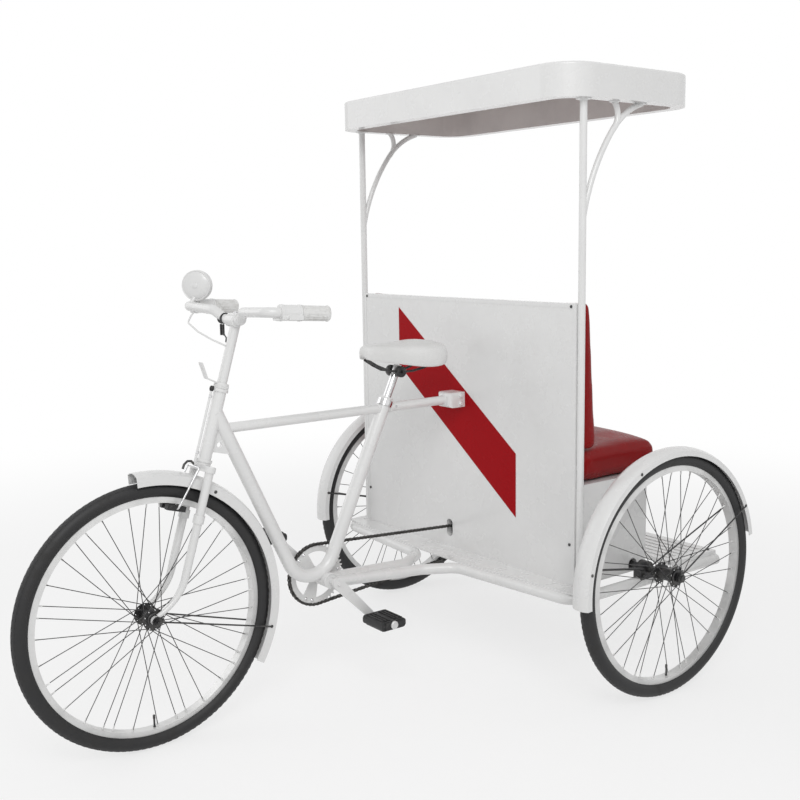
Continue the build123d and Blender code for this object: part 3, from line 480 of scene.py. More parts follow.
# Geometry Nodes: a tree with named inputs, which a throwaway object carries until its mesh is read
class Grower(Board):
    def __init__(self, name, *inputs):
        super().__init__(bpy.data.node_groups.new(name, "GeometryNodeTree"))
        self.keys = {}
        self.tree.interface.new_socket("Geometry", in_out="OUTPUT", socket_type="NodeSocketGeometry")
        self.tree.interface.new_socket("Geometry", in_out="INPUT", socket_type="NodeSocketGeometry")
        for label, kind in inputs + (("Finish", "Material"),):
            socket = self.tree.interface.new_socket(label, in_out="INPUT", socket_type="NodeSocket" + kind)
            self.keys[label] = socket.identifier
        self.given = self.tree.nodes.new("NodeGroupInput")

    def take(self, label):
        return Wire(self, self.given.outputs[label])

    def close(self, geometry):
        solid = self.add("GeometryNodeRealizeInstances", None, {0: geometry})
        dressed = self.add("GeometryNodeSetMaterial", None,
                           {"Geometry": solid, "Material": self.take("Finish")})
        self.add("NodeGroupOutput", None, {0: dressed})

    def grow(self, slotName, base=None, **values):
        carrier = bpy.data.objects.new("carrier", base or bpy.data.meshes.new("carrier"))
        bpy.context.scene.collection.objects.link(carrier)
        modifier = carrier.modifiers.new("grow", "NODES")
        modifier.node_group = self.tree
        for label, value in dict(values, Finish=finishes[slotName]).items():
            modifier[self.keys[label]] = value
        bpy.context.view_layer.update()
        seen = carrier.evaluated_get(bpy.context.evaluated_depsgraph_get())
        mesh = bpy.data.meshes.new_from_object(seen)
        carrier.modifiers.remove(modifier)
        bpy.data.objects.remove(carrier)
        return mesh


patterns = []


def pattern(shape, name):  # one copy that a grower repeats
    patterns.append(bpy.data.objects.new(name, meshFrom(shape, name)))
    return patterns[-1]


def ringGrower():  # copies turned in even steps round an axle, which is each copy's own z
    board = Grower("ring of copies", ("Copy", "Object"), ("Count", "Int"), ("Start", "Float"),
                   ("Centre", "Vector"), ("Tilt", "Vector"))
    count = board.take("Count")
    points = board.add("GeometryNodeMeshCircle", None, {"Vertices": count, "Radius": 0.0})  # all on the axle
    angle = board.add("GeometryNodeInputIndex") / count * (2 * pi)
    facing = board.add("ShaderNodeCombineXYZ", None, {"Z": angle + board.take("Start")})
    copy = board.add("GeometryNodeObjectInfo", None, {"Object": board.take("Copy")}).out("Geometry")
    placed = board.add("GeometryNodeInstanceOnPoints", None,
                       {"Points": points, "Instance": copy, "Rotation": facing})
    board.close(board.add("GeometryNodeTransform", None, {"Geometry": placed, "Rotation": board.take("Tilt"),
                                                          "Translation": board.take("Centre")}))
    return board


def pathGrower():  # two copies in turn along a closed or open path, local x along it and z towards Side
    board = Grower("copies along a path", ("Copy", "Object"), ("Other", "Object"), ("Count", "Int"),
                   ("Side", "Vector"))
    line = board.add("GeometryNodeMeshToCurve", None, {"Mesh": board.take("Geometry")})
    even = board.add("GeometryNodeResampleCurve", None, {"Curve": line, "Count": board.take("Count")})
    points = board.add("GeometryNodeCurveToPoints", {"mode": "EVALUATED"}, {"Curve": even})
    along = board.add("FunctionNodeAlignRotationToVector", {"axis": "X"}, {"Vector": points.out("Tangent")})
    turned = board.add("FunctionNodeAlignRotationToVector", {"axis": "Z", "pivot_axis": "X"},
                       {"Rotation": along, "Vector": board.take("Side")})
    odd = board.add("GeometryNodeInputIndex").math("MODULO", 2)
    both = board.tree.nodes.new("GeometryNodeJoinGeometry")
    for label, chosen in (("Other", odd), ("Copy", 1 - odd)):
        copy = board.add("GeometryNodeObjectInfo", None, {"Object": board.take(label)}).out("Geometry")
        placed = board.add("GeometryNodeInstanceOnPoints", None,
                           {"Points": points, "Instance": copy, "Rotation": turned, "Selection": chosen})
        board.tree.links.new(placed.socket, both.inputs[0])
    board.close(Wire(board, both.outputs[0]))
    return board


def spotGrower():  # a copy at each vertex, its local z along the vertex's aim
    board = Grower("copies at spots", ("Copy", "Object"))
    aim = board.add("GeometryNodeInputNamedAttribute", {"data_type": "FLOAT_VECTOR"}, {"Name": "aim"})
    turned = board.add("FunctionNodeAlignRotationToVector", {"axis": "Z"}, {"Vector": aim})
    copy = board.add("GeometryNodeObjectInfo", None, {"Object": board.take("Copy")}).out("Geometry")
    board.close(board.add("GeometryNodeInstanceOnPoints", None,
                          {"Points": board.take("Geometry"), "Instance": copy, "Rotation": turned}))
    return board


rings, paths, spots = ringGrower(), pathGrower(), spotGrower()


def pathMesh(points, closed=False):
    count = len(points)
    mesh = bpy.data.meshes.new("path")
    mesh.from_pydata(points, [(n, (n + 1) % count) for n in range(count if closed else count - 1)], [])
    return mesh


def spotMesh(places):  # places: (point, aim)
    mesh = bpy.data.meshes.new("spots")
    mesh.from_pydata([place for place, aim in places], [], [])
    aims = mesh.attributes.new("aim", "FLOAT_VECTOR", "POINT")
    aims.data.foreach_set("vector", [part for place, aim in places for part in aim])
    return mesh


# Wheels: tread blocks on the tyres, and nipples and a valve on the rims
wheels = {"front": {"centre": jointAt["front_wheel_spin"], "body": "front_wheel"},
          "rear_left": {"centre": jointAt["left_wheel_spin"], "body": "rear_wheel_left"},
          "rear_right": {"centre": jointAt["drive_axle_spin"].copy(), "body": "drive_axle"}}
wheels["rear_right"]["centre"].y = -jointAt["left_wheel_spin"].y
wheelSize = {"tread": 0.350, "section": 0.020, "rimFloor": 0.298, "rimOut": 0.003,
             "spokes": 18, "sweep": 62, "spokeRing": 0.026, "spokeOut": 0.027}
tread = {"rows": ((0.0, 120, 0.0115, 0.0055), (0.0095, 120, 0.010, 0.005), (-0.0095, 120, 0.010, 0.005)),
         "height": 0.0016, "bevel": 0.0005}


def treadMesh(centre):
    made = []
    for number, (offset, count, length, width) in enumerate(tread["rows"]):
        drop = wheelSize["section"] - sqrt(wheelSize["section"] ** 2 - offset ** 2)
        lean = Matrix.Rotation(-atan2(offset, wheelSize["section"]) * 0.9, 4, "Y")
        place = Matrix.Translation((wheelSize["tread"] - drop - tread["height"] * 0.3, 0, offset)) @ lean
        knob = pattern(block((tread["height"], length, width), tread["bevel"], place, 1), "knob")
        made.append(rings.grow("tyre_rubber", Copy=knob, Count=count, Start=pi / count * (number % 2),
                               Centre=centre, Tilt=(pi / 2, 0, 0)))
    return made


def mergedMesh(meshes, name):
    whole = bmesh.new()
    for mesh in meshes:
        whole.from_mesh(mesh)
        bpy.data.meshes.remove(mesh)
    result = bpy.data.meshes.new(name)
    whole.to_mesh(result)
    whole.free()
    return result


def spokeEnds(centre):  # where each spoke meets the rim, and its direction
    places = []
    for hand in sides:
        for n in range(wheelSize["spokes"]):
            turn = 2 * pi * (n + (0 if hand > 0 else 0.5)) / wheelSize["spokes"]
            lead = 1 if n % 2 else -1
            ring, reach = wheelSize["spokeRing"], wheelSize["rimFloor"]
            low = centre + Vector((ring * cos(turn), hand * wheelSize["spokeOut"], ring * sin(turn)))
            turn += lead * radians(wheelSize["sweep"])
            high = centre + Vector((reach * cos(turn), hand * wheelSize["rimOut"], reach * sin(turn)))
            places.append((high, (high - low).normalized()))
    return places


nippleShape = [(0.0012, -0.013), (0.0019, -0.0125), (0.0021, -0.004), (0.003, -0.002), (0.003, 0.001)]
valveShape = [(0.0036, -0.001), (0.0036, 0.002), (0.0026, 0.003), (0.0026, 0.022), (0.0034, 0.0225),
              (0.0034, 0.031), (0.0022, 0.033)]
nipple = pattern(lathe(nippleShape, 10), "nipple")
for name, wheel in wheels.items():
    centre = wheel["centre"]
    addPiece(name + "_tread", mergedMesh(treadMesh(centre), "tread"), wheel["body"], "tyre_rubber")
    addPiece(name + "_nipples", spots.grow("rim_metal", spotMesh(spokeEnds(centre)), Copy=nipple),
             wheel["body"], "rim_metal")
    foot = turnedTo(centre - Vector((0, 0, wheelSize["rimFloor"])), (0, 0, 1))
    addParts(name + "_valve", [lathe(valveShape, 16, foot)], wheel["body"], "dark_steel")
print("wheels dressed")


# Chain and its wheels: outer and inner links in turn, and teeth that stand between the rollers
drive = {"ring": jointAt["crank_spin"], "sprocket": jointAt["drive_axle_spin"], "side": -0.048,
         "ringRadius": 0.08901, "sprocketRadius": 0.03255, "ringTeeth": 44, "sprocketTeeth": 16,
         "pitch": 0.0127, "plate": 0.0011, "plateHalf": 0.0042, "waist": 0.72, "pinRadius": 0.0018,
         "rollerRadius": 0.0038, "inner": 0.0031, "outer": 0.0045}


def chainRoute():
    ring, sprocket = Vector(drive["ring"]), Vector(drive["sprocket"])
    ring.y = sprocket.y = drive["side"]
    gap = ring - sprocket
    tip = atan2(gap.z, gap.x)
    step = drive["ringRadius"] - drive["sprocketRadius"]
    lap = pi - atan2(sqrt(gap.length ** 2 - step ** 2), step)  # centre line to where the chain leaves
    points = []
    for centre, radius, first, last, steps in ((ring, drive["ringRadius"], -lap, lap, 48),
                                               (sprocket, drive["sprocketRadius"], lap, 2 * pi - lap, 32)):
        for n in range(steps + 1):
            turn = tip + first + (last - first) * n / steps
            points.append(centre + Vector((radius * cos(turn), 0, radius * sin(turn))))
    return points


def plate(outline, low, high):  # a flat shape between two levels
    shape = bmesh.new()
    faces = []
    for level in (low, high):
        faces.append([shape.verts.new((x, y, level)) for x, y in outline])
        shape.faces.new(faces[-1])
    for n in range(len(outline)):
        shape.faces.new((faces[0][n - 1], faces[0][n], faces[1][n], faces[1][n - 1]))
    return shape


def linkPlates(offset):  # two waisted plates, offset either way from the middle of the chain
    half, wide, thick = drive["pitch"] / 2, drive["plateHalf"], drive["plate"]
    outline = []
    for end in (1, -1):
        for n in range(7):
            turn = radians(-75 + 25 * n) + (0 if end > 0 else pi)
            outline.append((end * half + wide * cos(turn), wide * sin(turn)))
        outline.append((0, end * wide * drive["waist"]))
    return [plate(outline, hand * offset - thick / 2, hand * offset + thick / 2) for hand in sides]


def chainMesh():
    ends = [Matrix.Translation((end * drive["pitch"] / 2, 0, 0)) for end in (1, -1)]
    reach = drive["outer"] + drive["plate"] * 0.9
    pins = [lathe([(drive["pinRadius"], -reach), (drive["pinRadius"], reach)], 8, place) for place in ends]
    wall, radius = drive["inner"], drive["rollerRadius"]
    rollers = [lathe([(radius, -wall), (radius, wall)], 10, place) for place in ends]
    outer = pattern(joined(*linkPlates(drive["outer"]), *pins), "outer link")
    inner = pattern(joined(*linkPlates(drive["inner"]), *rollers), "inner link")
    route = chainRoute()
    length = sum((route[n] - route[n - 1]).length for n in range(len(route)))
    count = 2 * round(length / drive["pitch"] / 2)
    return paths.grow("chain_steel", pathMesh(route, True), Copy=outer, Other=inner, Count=count,
                      Side=(0, 1, 0))


# a tooth's flank: out from the chain's own circle, and half width
tooth = {"flank": ((-0.006, 0.0042), (-0.001, 0.002604), (0.0035, 0.0012)), "half": 0.001}


def toothMesh(centre, radius, count, slotName):
    flank = [(radius + out, wide) for out, wide in tooth["flank"]]
    outline = [(x, -y) for x, y in flank] + flank[::-1]
    copy = pattern(plate(outline, -tooth["half"], tooth["half"]), "tooth")
    return rings.grow(slotName, Copy=copy, Count=count, Centre=centre, Tilt=(pi / 2, 0, 0))


addPiece("chain_links", chainMesh(), "chassis", "chain_steel", "chain")
for label, body, slotName in (("ring", "crankset", "paint_white"), ("sprocket", "drive_axle", "dark_steel")):
    middle = Vector(drive[label])
    middle.y = drive["side"]
    teeth = toothMesh(middle, drive[label + "Radius"], drive[label + "Teeth"], slotName)
    addPiece(label + "_teeth", teeth, body, slotName)
print("chain and teeth made")


# Saddle: a skirted comfort seat on two wire rails
saddleShape = {"back": 0.340, "rows": (  # ahead of the back, half width, top, bottom
    (0.000, 0.058, 0.982, 0.950), (0.012, 0.086, 0.997, 0.934), (0.045, 0.099, 1.004, 0.926),
    (0.090, 0.092, 1.003, 0.926), (0.140, 0.063, 1.000, 0.934), (0.190, 0.040, 1.001, 0.944),
    (0.245, 0.029, 1.001, 0.952), (0.266, 0.019, 0.994, 0.958)),
    "turns": ((0, 1.0), (0.55, 0.985), (0.88, 0.86), (1.0, 0.55), (0.97, 0.22), (0.93, 0.0)),  # half a row
    "hem": 0.80, "hemUp": 0.006, "hollow": 0.010}
rearX = jointAt["drive_axle_spin"].x


def saddleMesh():
    shape = bmesh.new()
    rows = []
    for ahead, half, top, low in saddleShape["rows"]:
        x = rearX + saddleShape["back"] + ahead
        right = [(half * wide, low + (top - low) * up) for wide, up in saddleShape["turns"]]
        under = [(half * saddleShape["hem"], low + saddleShape["hemUp"]), (0, low + saddleShape["hollow"])]
        loop = right + under + [(-y, z) for y, z in reversed(right[1:] + under[:1])]
        rows.append([shape.verts.new((x, y, z)) for y, z in loop])
    for first, second in zip(rows, rows[1:]):
        for n in range(len(first)):
            shape.faces.new((first[n - 1], first[n], second[n], second[n - 1]))
    shape.faces.new(rows[0])
    shape.faces.new(rows[-1])
    return meshFrom(shape, "saddle", 180)


saddle = addPiece("saddle_cover", saddleMesh(), "chassis", "saddle_white", "saddle")
rounder = saddle.modifiers.new("round", "SUBSURF")
rounder.levels = rounder.render_levels = 3
print("saddle made")


# Places: ahead of the rear axle, and up the steering axis
head = {"foot": jointAt["steer"], "lean": radians(73), "lock": 0.6224, "stemTop": 0.7924, "rod": 0.0255}


def spot(u, y, z):
    return Vector((rearX + u, y, z))


def headSpot(up, ahead=0.0):
    turn = head["lean"]
    return head["foot"] + Vector((-cos(turn) * up + sin(turn) * ahead, 0, sin(turn) * up + cos(turn) * ahead))


headUp = headSpot(1) - headSpot(0)
bar = {"spot": headSpot(head["stemTop"], 0.008), "gripEnd": (-0.132, 0.240, 0.021),
       "corner": (0.027, 0.220, 0.031)}


def gripRun(hand):  # a grip's outer end, and the way from it to the bar's corner
    end, corner = [bar["spot"] + Vector((ahead, hand * y, up))
                   for ahead, y, up in (bar["gripEnd"], bar["corner"])]
    return end, (corner - end).normalized()


def tiltOf(along):  # angles that turn z to a direction
    return tuple(turnedTo((0, 0, 0), along).to_euler())


# Grips: lengthwise ribs, a mushroom end and a collar
grip = {"radius": 0.0185, "ribs": 16, "rib": (0.0014, 0.0030, 0.060), "ribMiddle": 0.036,
        "end": [(0.0, -0.0062), (0.010, -0.0062), (0.0188, -0.005), (0.0205, -0.002), (0.0200, 0.0005),
                (0.0185, 0.001)],
        "collar": [(0.0184, 0.0662), (0.0202, 0.0675), (0.0202, 0.0708), (0.0184, 0.0718)]}


def gripMeshes():
    rib = block(grip["rib"], 0.0005, Matrix.Translation((grip["radius"], 0, grip["ribMiddle"])), 1)
    copy = pattern(rib, "rib")
    made = []
    for hand in sides:
        end, run = gripRun(hand)
        made.append(rings.grow("grip_white", Copy=copy, Count=grip["ribs"], Centre=end, Tilt=tiltOf(run)))
        for profile in (grip["end"], grip["collar"]):
            made.append(meshFrom(lathe(profile, 40, turnedTo(end, run)), "grip"))
    return made


addPiece("grip_ribs", mergedMesh(gripMeshes(), "grip ribs"), "steering", "grip_white")

# Brake levers: collars on their perches, a pivot screw and a cable barrel
lever = {"bands": (0.076, 0.124),
         "band": [(0.0199, -0.003), (0.0212, -0.0022), (0.0212, 0.0022), (0.0199, 0.003)],
         "pivotAt": 0.118, "pivotOut": 0.0222, "pivotDrop": 0.010,
         "pivot": [(0.0050, -0.001), (0.0050, 0.0016), (0.0034, 0.0026), (0.0, 0.0028)],
         "barrelAt": 0.127, "barrelDrop": 0.0165,
         "barrel": [(0.0030, 0.0), (0.0042, 0.002), (0.0042, 0.010), (0.0030, 0.013), (0.0030, 0.018)]}
parts = []
for hand in sides:
    end, run = gripRun(hand)
    outward = Vector((0, hand, 0))
    for place in lever["bands"]:
        parts.append(lathe(lever["band"], 40, turnedTo(end + run * place, run)))
    pivot = end + run * lever["pivotAt"] + outward * lever["pivotOut"] - Vector((0, 0, lever["pivotDrop"]))
    parts.append(lathe(lever["pivot"], 16, turnedTo(pivot, outward)))
    barrel = end + run * lever["barrelAt"] - Vector((0, 0, lever["barrelDrop"]))
    parts.append(lathe(lever["barrel"], 14, turnedTo(barrel, run)))
addParts("lever_fittings", parts, "steering", "paint_white")

# Bell: a low dome with a rim bead and a screw on each face
bell = {"spot": bar["spot"] + Vector((0, -0.200, 0.086)), "turn": radians(40),
        "rim": 0.0398, "rimUp": 0.0088, "bead": 0.0018,
        "dome": [(0.0365, 0.0095), (0.0365, 0.0106), (0.0340, 0.0122), (0.0240, 0.0146), (0.0100, 0.0160),
                 (0.0, 0.0162)],
        "boss": [(0.0075, 0.0150), (0.0075, 0.0172), (0.0060, 0.0182), (0.0, 0.0184)]}
bellFace = Vector((cos(bell["turn"]), sin(bell["turn"]), 0))
parts = []
for hand in sides:
    place = turnedTo(bell["spot"], bellFace * hand)
    parts += [lathe(bell["dome"], 56, place), lathe(bell["boss"], 24, place)]
    parts.append(tube(circle(place, bell["rim"], 56, bell["rimUp"]), bell["bead"], 8, True))
addParts("bell_dome", parts, "steering", "paint_white")

# Under the bar: two black clamps with a bare wire, and the rubber cap of the brake's rod
clamps = {"spots": ((0.002, -0.043, 0.003), (0.002, -0.056, 0.003)), "tab": (0.005, 0.006, 0.030),
          "tabSpot": (0.006, 0, -0.030), "wire": 0.0018,
          "ring": [(0.013, -0.004), (0.015, -0.0036), (0.015, 0.0036), (0.013, 0.004)],
          "route": ((0.008, -0.044, -0.024), (0.014, -0.034, -0.034), (0.014, -0.018, -0.046),
                    (0.022, -0.006, -0.056)),
          "capUp": 0.6055,
          "cap": [(0.0, -0.007), (0.0046, -0.006), (0.0062, -0.001), (0.0060, 0.004), (0.0036, 0.0075),
                  (0.0, 0.008)]}
parts = []
for place in clamps["spots"]:
    middle = bar["spot"] + Vector(place)
    parts.append(lathe(clamps["ring"], 28, turnedTo(middle, (0, 1, 0))))
    parts.append(block(clamps["tab"], 0.001, Matrix.Translation(middle + Vector(clamps["tabSpot"]))))
parts.append(tube([bar["spot"] + Vector(place) for place in clamps["route"]], clamps["wire"], 8))
parts.append(lathe(clamps["cap"], 20, turnedTo(headSpot(clamps["capUp"], head["rod"]), headUp)))
addParts("bar_clamps", parts, "steering", "pedal_black")

# Steering head: knurled lock ring, the brake's curved link and its clips on the stem
knurl = {"size": (0.0016, 0.0016, 0.0085), "count": 36, "radius": 0.0192, "drop": 0.006}
copy = pattern(block(knurl["size"], 0.0004, Matrix.Translation((knurl["radius"], 0, 0)), 1), "knurl")
knurls = rings.grow("paint_white", Copy=copy, Count=knurl["count"], Tilt=tiltOf(headUp),
                    Centre=headSpot(head["lock"] - knurl["drop"]))
addPiece("lock_knurls", knurls, "steering", "paint_white")
brake = {"link": 0.0032,
         "route": ((0.404, 0.026), (0.411, 0.036), (0.409, 0.047), (0.399, 0.054), (0.387, 0.055)),
         "clips": (0.436, 0.585),
         "clip": [(0.0034, -0.004), (0.0052, -0.003), (0.0052, 0.003), (0.0034, 0.004)]}
link = tube([headSpot(up, ahead) for up, ahead in brake["route"]], brake["link"], 10)
addParts("brake_link", [link], "steering", "dark_steel")
parts = [lathe(brake["clip"], 16, turnedTo(headSpot(up, head["rod"]), headUp)) for up in brake["clips"]]
addParts("rod_clips", parts, "steering", "chrome")
print("handlebar dressed")


# Under the saddle: two wire rails, held on the post by a clamp with a bolt through it
saddleRails = {"wire": 0.0036, "route": ((0.590, 0.008, 0.956), (0.560, 0.011, 0.938), (0.525, 0.019, 0.922),
                                         (0.485, 0.022, 0.915), (0.440, 0.023, 0.915), (0.405, 0.030, 0.922),
                                         (0.372, 0.044, 0.938)),
               "clamp": (0.484, 0.916), "clampSides": (-0.022, 0.022),
               "clampShape": [(0.0, -0.010), (0.0145, -0.010), (0.0165, -0.007), (0.0165, 0.007),
                              (0.0145, 0.010), (0.0, 0.010)],
               "bar": [(0.0045, -0.040), (0.0045, 0.040)]}
parts = []
for hand in sides:
    parts.append(tube([spot(u, hand * y, z) for u, y, z in saddleRails["route"]], saddleRails["wire"], 12))
u, z = saddleRails["clamp"]
for y in saddleRails["clampSides"]:
    parts.append(lathe(saddleRails["clampShape"], 32, turnedTo(spot(u, y, z), (0, 1, 0))))
parts.append(lathe(saddleRails["bar"], 16, turnedTo(spot(u, 0, z), (0, 1, 0))))
addParts("saddle_rails", parts, "chassis", "dark_steel")
ears = {"spot": (0.4985, 0, 0.8143), "size": (0.016, 0.018, 0.015), "lean": radians(-25),
        "boltSpot": (0.4955, 0, 0.8143), "bolt": [(0.0032, -0.016), (0.0032, 0.016)]}
leaning = Matrix.Translation(spot(*ears["spot"])) @ Matrix.Rotation(ears["lean"], 4, "Y")
parts = [block(ears["size"], 0.002, leaning),
         lathe(ears["bolt"], 14, turnedTo(spot(*ears["boltSpot"]), (0, 1, 0)))]
addParts("seat_clamp_ears", parts, "chassis", "chrome")


# Fastenings: one pattern repeated at spots, each spot with the way its head points
hexHead = joined(lathe([(0.0078, 0.0), (0.0078, 0.0010), (0.0072, 0.0013)], 20),
                 lathe([(0.0062, 0.0008), (0.0062, 0.0046), (0.0052, 0.0054), (0.0, 0.0054)], 6))
domeHead = lathe([(0.0044, 0.0), (0.0044, 0.0008), (0.0034, 0.0020), (0.0016, 0.0027), (0.0008, 0.0020),
                  (0.0, 0.0020)], 18)
heads = {"hex": pattern(hexHead, "hex head"), "dome": pattern(domeHead, "dome head")}


def wheelSpot(centre, angle, radius, y):
    turn = radians(angle)
    return Vector((centre.x + radius * cos(turn), y, centre.z + radius * sin(turn)))


frontCentre = wheels["front"]["centre"]
rearCentres = [wheels[name]["centre"] for name in ("rear_left", "rear_right")]
crank = jointAt["crank_spin"]
screws = {
    "panel_screws": ("chassis", "dark_steel", "dome", [
        (spot(0.2452, side * 0.472, z), (1, 0, 0)) for side in sides for z in (0.450, 1.111)]),
    "fender_screws": ("chassis", "dark_steel", "dome", [
        (wheelSpot(centre, angle, 0.350, centre.y + side * 0.0282), (0, side, 0))
        for centre in rearCentres for angle in (12, 64, 154) for side in sides]),
    "front_fender_screws": ("steering", "dark_steel", "dome", [
        (wheelSpot(frontCentre, angle, 0.357, side * 0.0282), (0, side, 0))
        for angle in (122, 196) for side in sides]),
    "bearing_bolts": ("chassis", "dark_steel", "hex", [
        (spot(ahead, side * 0.549, 0.3335), (0, side, 0)) for side in sides for ahead in (-0.022, 0.022)]),
    "boss_bolts": ("chassis", "paint_white", "hex", [
        (spot(0.262, side * 0.030, z), (0, side, 0)) for side in sides for z in (0.800, 0.824)]),
    "footboard_bolts": ("chassis", "dark_steel", "dome", [
        (spot(u, side * 0.520, 0.341), (0, 0, 1)) for u in (-0.312, -0.230, -0.148) for side in sides]),
    "box_screws": ("chassis", "dark_steel", "dome", [
        (spot(-0.056, side * 0.474, z), (-1, 0, 0)) for side in sides for z in (0.36, 0.47, 0.59)]),
    "stem_bolts": ("steering", "chrome", "hex", [
        (bar["spot"] + Vector((-0.0165, 0, -0.004)), (-1, 0, -0.1)),
        (headSpot(head["stemTop"] + 0.019, 0.006), (-0.29, 0, 0.956))]),
    "chainring_bolts": ("crankset", "chrome", "dome", [
        (wheelSpot(crank, angle, 0.0755, drive["side"] + side * 0.0016), (0, side, 0))
        for angle in (42, 58, 162, 178, 282, 298) for side in sides]),
    "crank_nuts": ("crankset", "paint_white", "hex", [
        (crank + Vector((0, side * 0.072, 0)), (0, side, 0)) for side in sides]),
}
for name, (body, slotName, kind, places) in screws.items():
    addPiece(name, spots.grow(slotName, spotMesh(places), Copy=heads[kind]), body, slotName)

# Spoke heads on the flanges and dust caps on the hub ends; a hub's flange, half length and barrel
hubs = {"front": (0.029, 0.033, 0.0145), "rear_left": (0.030, 0.034, 0.0175),
        "rear_right": (0.030, 0.034, 0.0175)}
spokeHead = {"inset": 0.004, "lead": 0.0030,
             "shape": [(0.0019, -0.0004), (0.0019, 0.0004), (0.0012, 0.0011), (0.0, 0.0013)]}
button = pattern(lathe(spokeHead["shape"], 10), "spoke head")
for name, (flange, half, barrel) in hubs.items():
    centre, body = wheels[name]["centre"], wheels[name]["body"]
    places, caps = [], []
    for hand in sides:
        for n in range(wheelSize["spokes"]):
            turn = 360 / wheelSize["spokes"] * (n + (0 if hand > 0 else 0.5))
            lead = 1 if n % 2 else -1
            across = centre.y + hand * (wheelSize["spokeOut"] + lead * spokeHead["lead"])
            places.append((wheelSpot(centre, turn, flange - spokeHead["inset"], across), (0, hand * lead, 0)))
        capShape = [(barrel, 0.0284), (barrel + 0.0035, 0.0288), (barrel + 0.0035, half - 0.0022),
                    (barrel + 0.001, half - 0.0006), (barrel - 0.003, half - 0.0002)]
        caps.append(lathe(capShape, 36, turnedTo(centre, (0, hand, 0))))
    addPiece(name + "_spoke_heads", spots.grow("chrome", spotMesh(places), Copy=button), body, "chrome")
    addParts(name + "_hub_caps", caps, body, "dark_steel")
print("fastenings placed")


# Fenders: a rolled bead along each edge; a fender's centres, radius and the angles of its ends
bead = {"radius": 0.0016, "side": 0.0276, "steps": 64,
        "front_fender_beads": ("steering", [frontCentre], 0.347, 86, 212),
        "rear_fender_beads": ("chassis", rearCentres, 0.343, -4, 170)}
for name in ("front_fender_beads", "rear_fender_beads"):
    body, centres, radius, first, last = bead[name]
    angles = [first + (last - first) * n / bead["steps"] for n in range(bead["steps"] + 1)]
    parts = []
    for centre in centres:
        for side in sides:
            route = [wheelSpot(centre, angle, radius, centre.y + side * bead["side"]) for angle in angles]
            parts.append(tube(route, bead["radius"], 8))
    addParts(name, parts, body, "paint_white")

# Panel: edging strips on its face; and strips of tread on the footboard
edging = {"face": 0.2444, "width": 0.012, "thick": 0.0012, "low": 0.333, "high": 1.119, "half": 0.490}
wide, tall = 2 * (edging["half"] - edging["width"]), edging["high"] - edging["low"]
across, middle = edging["half"] - edging["width"] / 2, edging["low"] + tall / 2
parts = [block((edging["thick"], edging["width"], tall), 0.0004,
               Matrix.Translation(spot(edging["face"], side * across, middle))) for side in sides]
parts.append(block((edging["thick"], wide, edging["width"]), 0.0004,
                   Matrix.Translation(spot(edging["face"], 0, edging["high"] - edging["width"] / 2))))
addParts("panel_edging", parts, "chassis", "paint_white")
treads = {"size": (0.010, 0.99, 0.002), "first": -0.300, "step": 0.028, "count": 6, "up": 0.3418}
places = [spot(treads["first"] + treads["step"] * n, 0, treads["up"]) for n in range(treads["count"])]
parts = [block(treads["size"], 0.0008, Matrix.Translation(place)) for place in places]
addParts("footboard_treads", parts, "chassis", "paint_white")

# Canopy posts: a flange at each end, and small feet where the braces meet the canopy
post = {"u": 0.234, "side": 0.500, "low": 0.333, "high": 1.654, "feet": (-0.118, -0.228),
        "flange": [(0.0101, 0.0), (0.021, 0.0), (0.021, 0.0025), (0.0125, 0.0035), (0.0101, 0.007)],
        "foot": [(0.0079, 0.0), (0.015, 0.0), (0.015, 0.0022), (0.0079, 0.004)]}
parts = []
for hand in sides:
    y = hand * post["side"]
    parts.append(lathe(post["flange"], 32, turnedTo(spot(post["u"], y, post["low"]), (0, 0, 1))))
    parts.append(lathe(post["flange"], 32, turnedTo(spot(post["u"], y, post["high"]), (0, 0, -1))))
    for ahead in post["feet"]:
        parts.append(lathe(post["foot"], 24, turnedTo(spot(post["u"] + ahead, y, post["high"]), (0, 0, -1))))
addParts("post_flanges", parts, "chassis", "paint_white")

# Weld beads: a ring round each joint of two tubes, by its middle, axis and radius
welds = [(spot(0.306, 0, 0.812), (1, 0, 0), 0.0140), (spot(0.5118, 0, 0.812), (1, 0, 0), 0.0142),
         (spot(0.5538, 0, 0.812), (1, 0, 0), 0.0142)]
welds += [(spot(0.750, side * 0.0335, 0.342), (0, 1, 0), 0.0205) for side in sides]
welds += [(spot(-0.314, side * 0.5185, 0.313), (0, 1, 0), 0.0165) for side in sides]
parts = [tube(circle(turnedTo(middle, along), radius), 0.0022, 8, True) for middle, along, radius in welds]
addParts("weld_beads", parts, "chassis", "paint_white")

# Pedals: rubber ribs on both faces, plates at the ends and a round cap
pedal = {"ribs": (-0.031, -0.0205, -0.010, 0.010, 0.0205, 0.031), "rib": (0.0066, 0.080, 0.0030),
         "top": 0.0138, "plate": (0.062, 0.003, 0.0215), "plateOut": 0.0465, "capOut": 0.0455,
         "cap": [(0.0118, 0.0), (0.0118, 0.005), (0.0100, 0.0075), (0.0082, 0.0078), (0.0078, 0.0066),
                 (0.0, 0.0066)]}
for name, hand in (("pedal_left", 1), ("pedal_right", -1)):
    centre = jointAt[name + "_spin"]
    places = [centre + Vector((u, 0, side * pedal["top"])) for u in pedal["ribs"] for side in sides]
    parts = [block(pedal["rib"], 0.0009, Matrix.Translation(place)) for place in places]
    addParts(name + "_ribs", parts, name, "pedal_black")
    places = [centre + Vector((0, side * pedal["plateOut"], 0)) for side in sides]
    parts = [block(pedal["plate"], 0.001, Matrix.Translation(place)) for place in places]
    addParts(name + "_plates", parts, name, "pedal_black")
    outer = turnedTo(centre + Vector((0, hand * pedal["capOut"], 0)), (0, hand, 0))
    addParts(name + "_cap", [lathe(pedal["cap"], 28, outer)], name, "rim_metal")
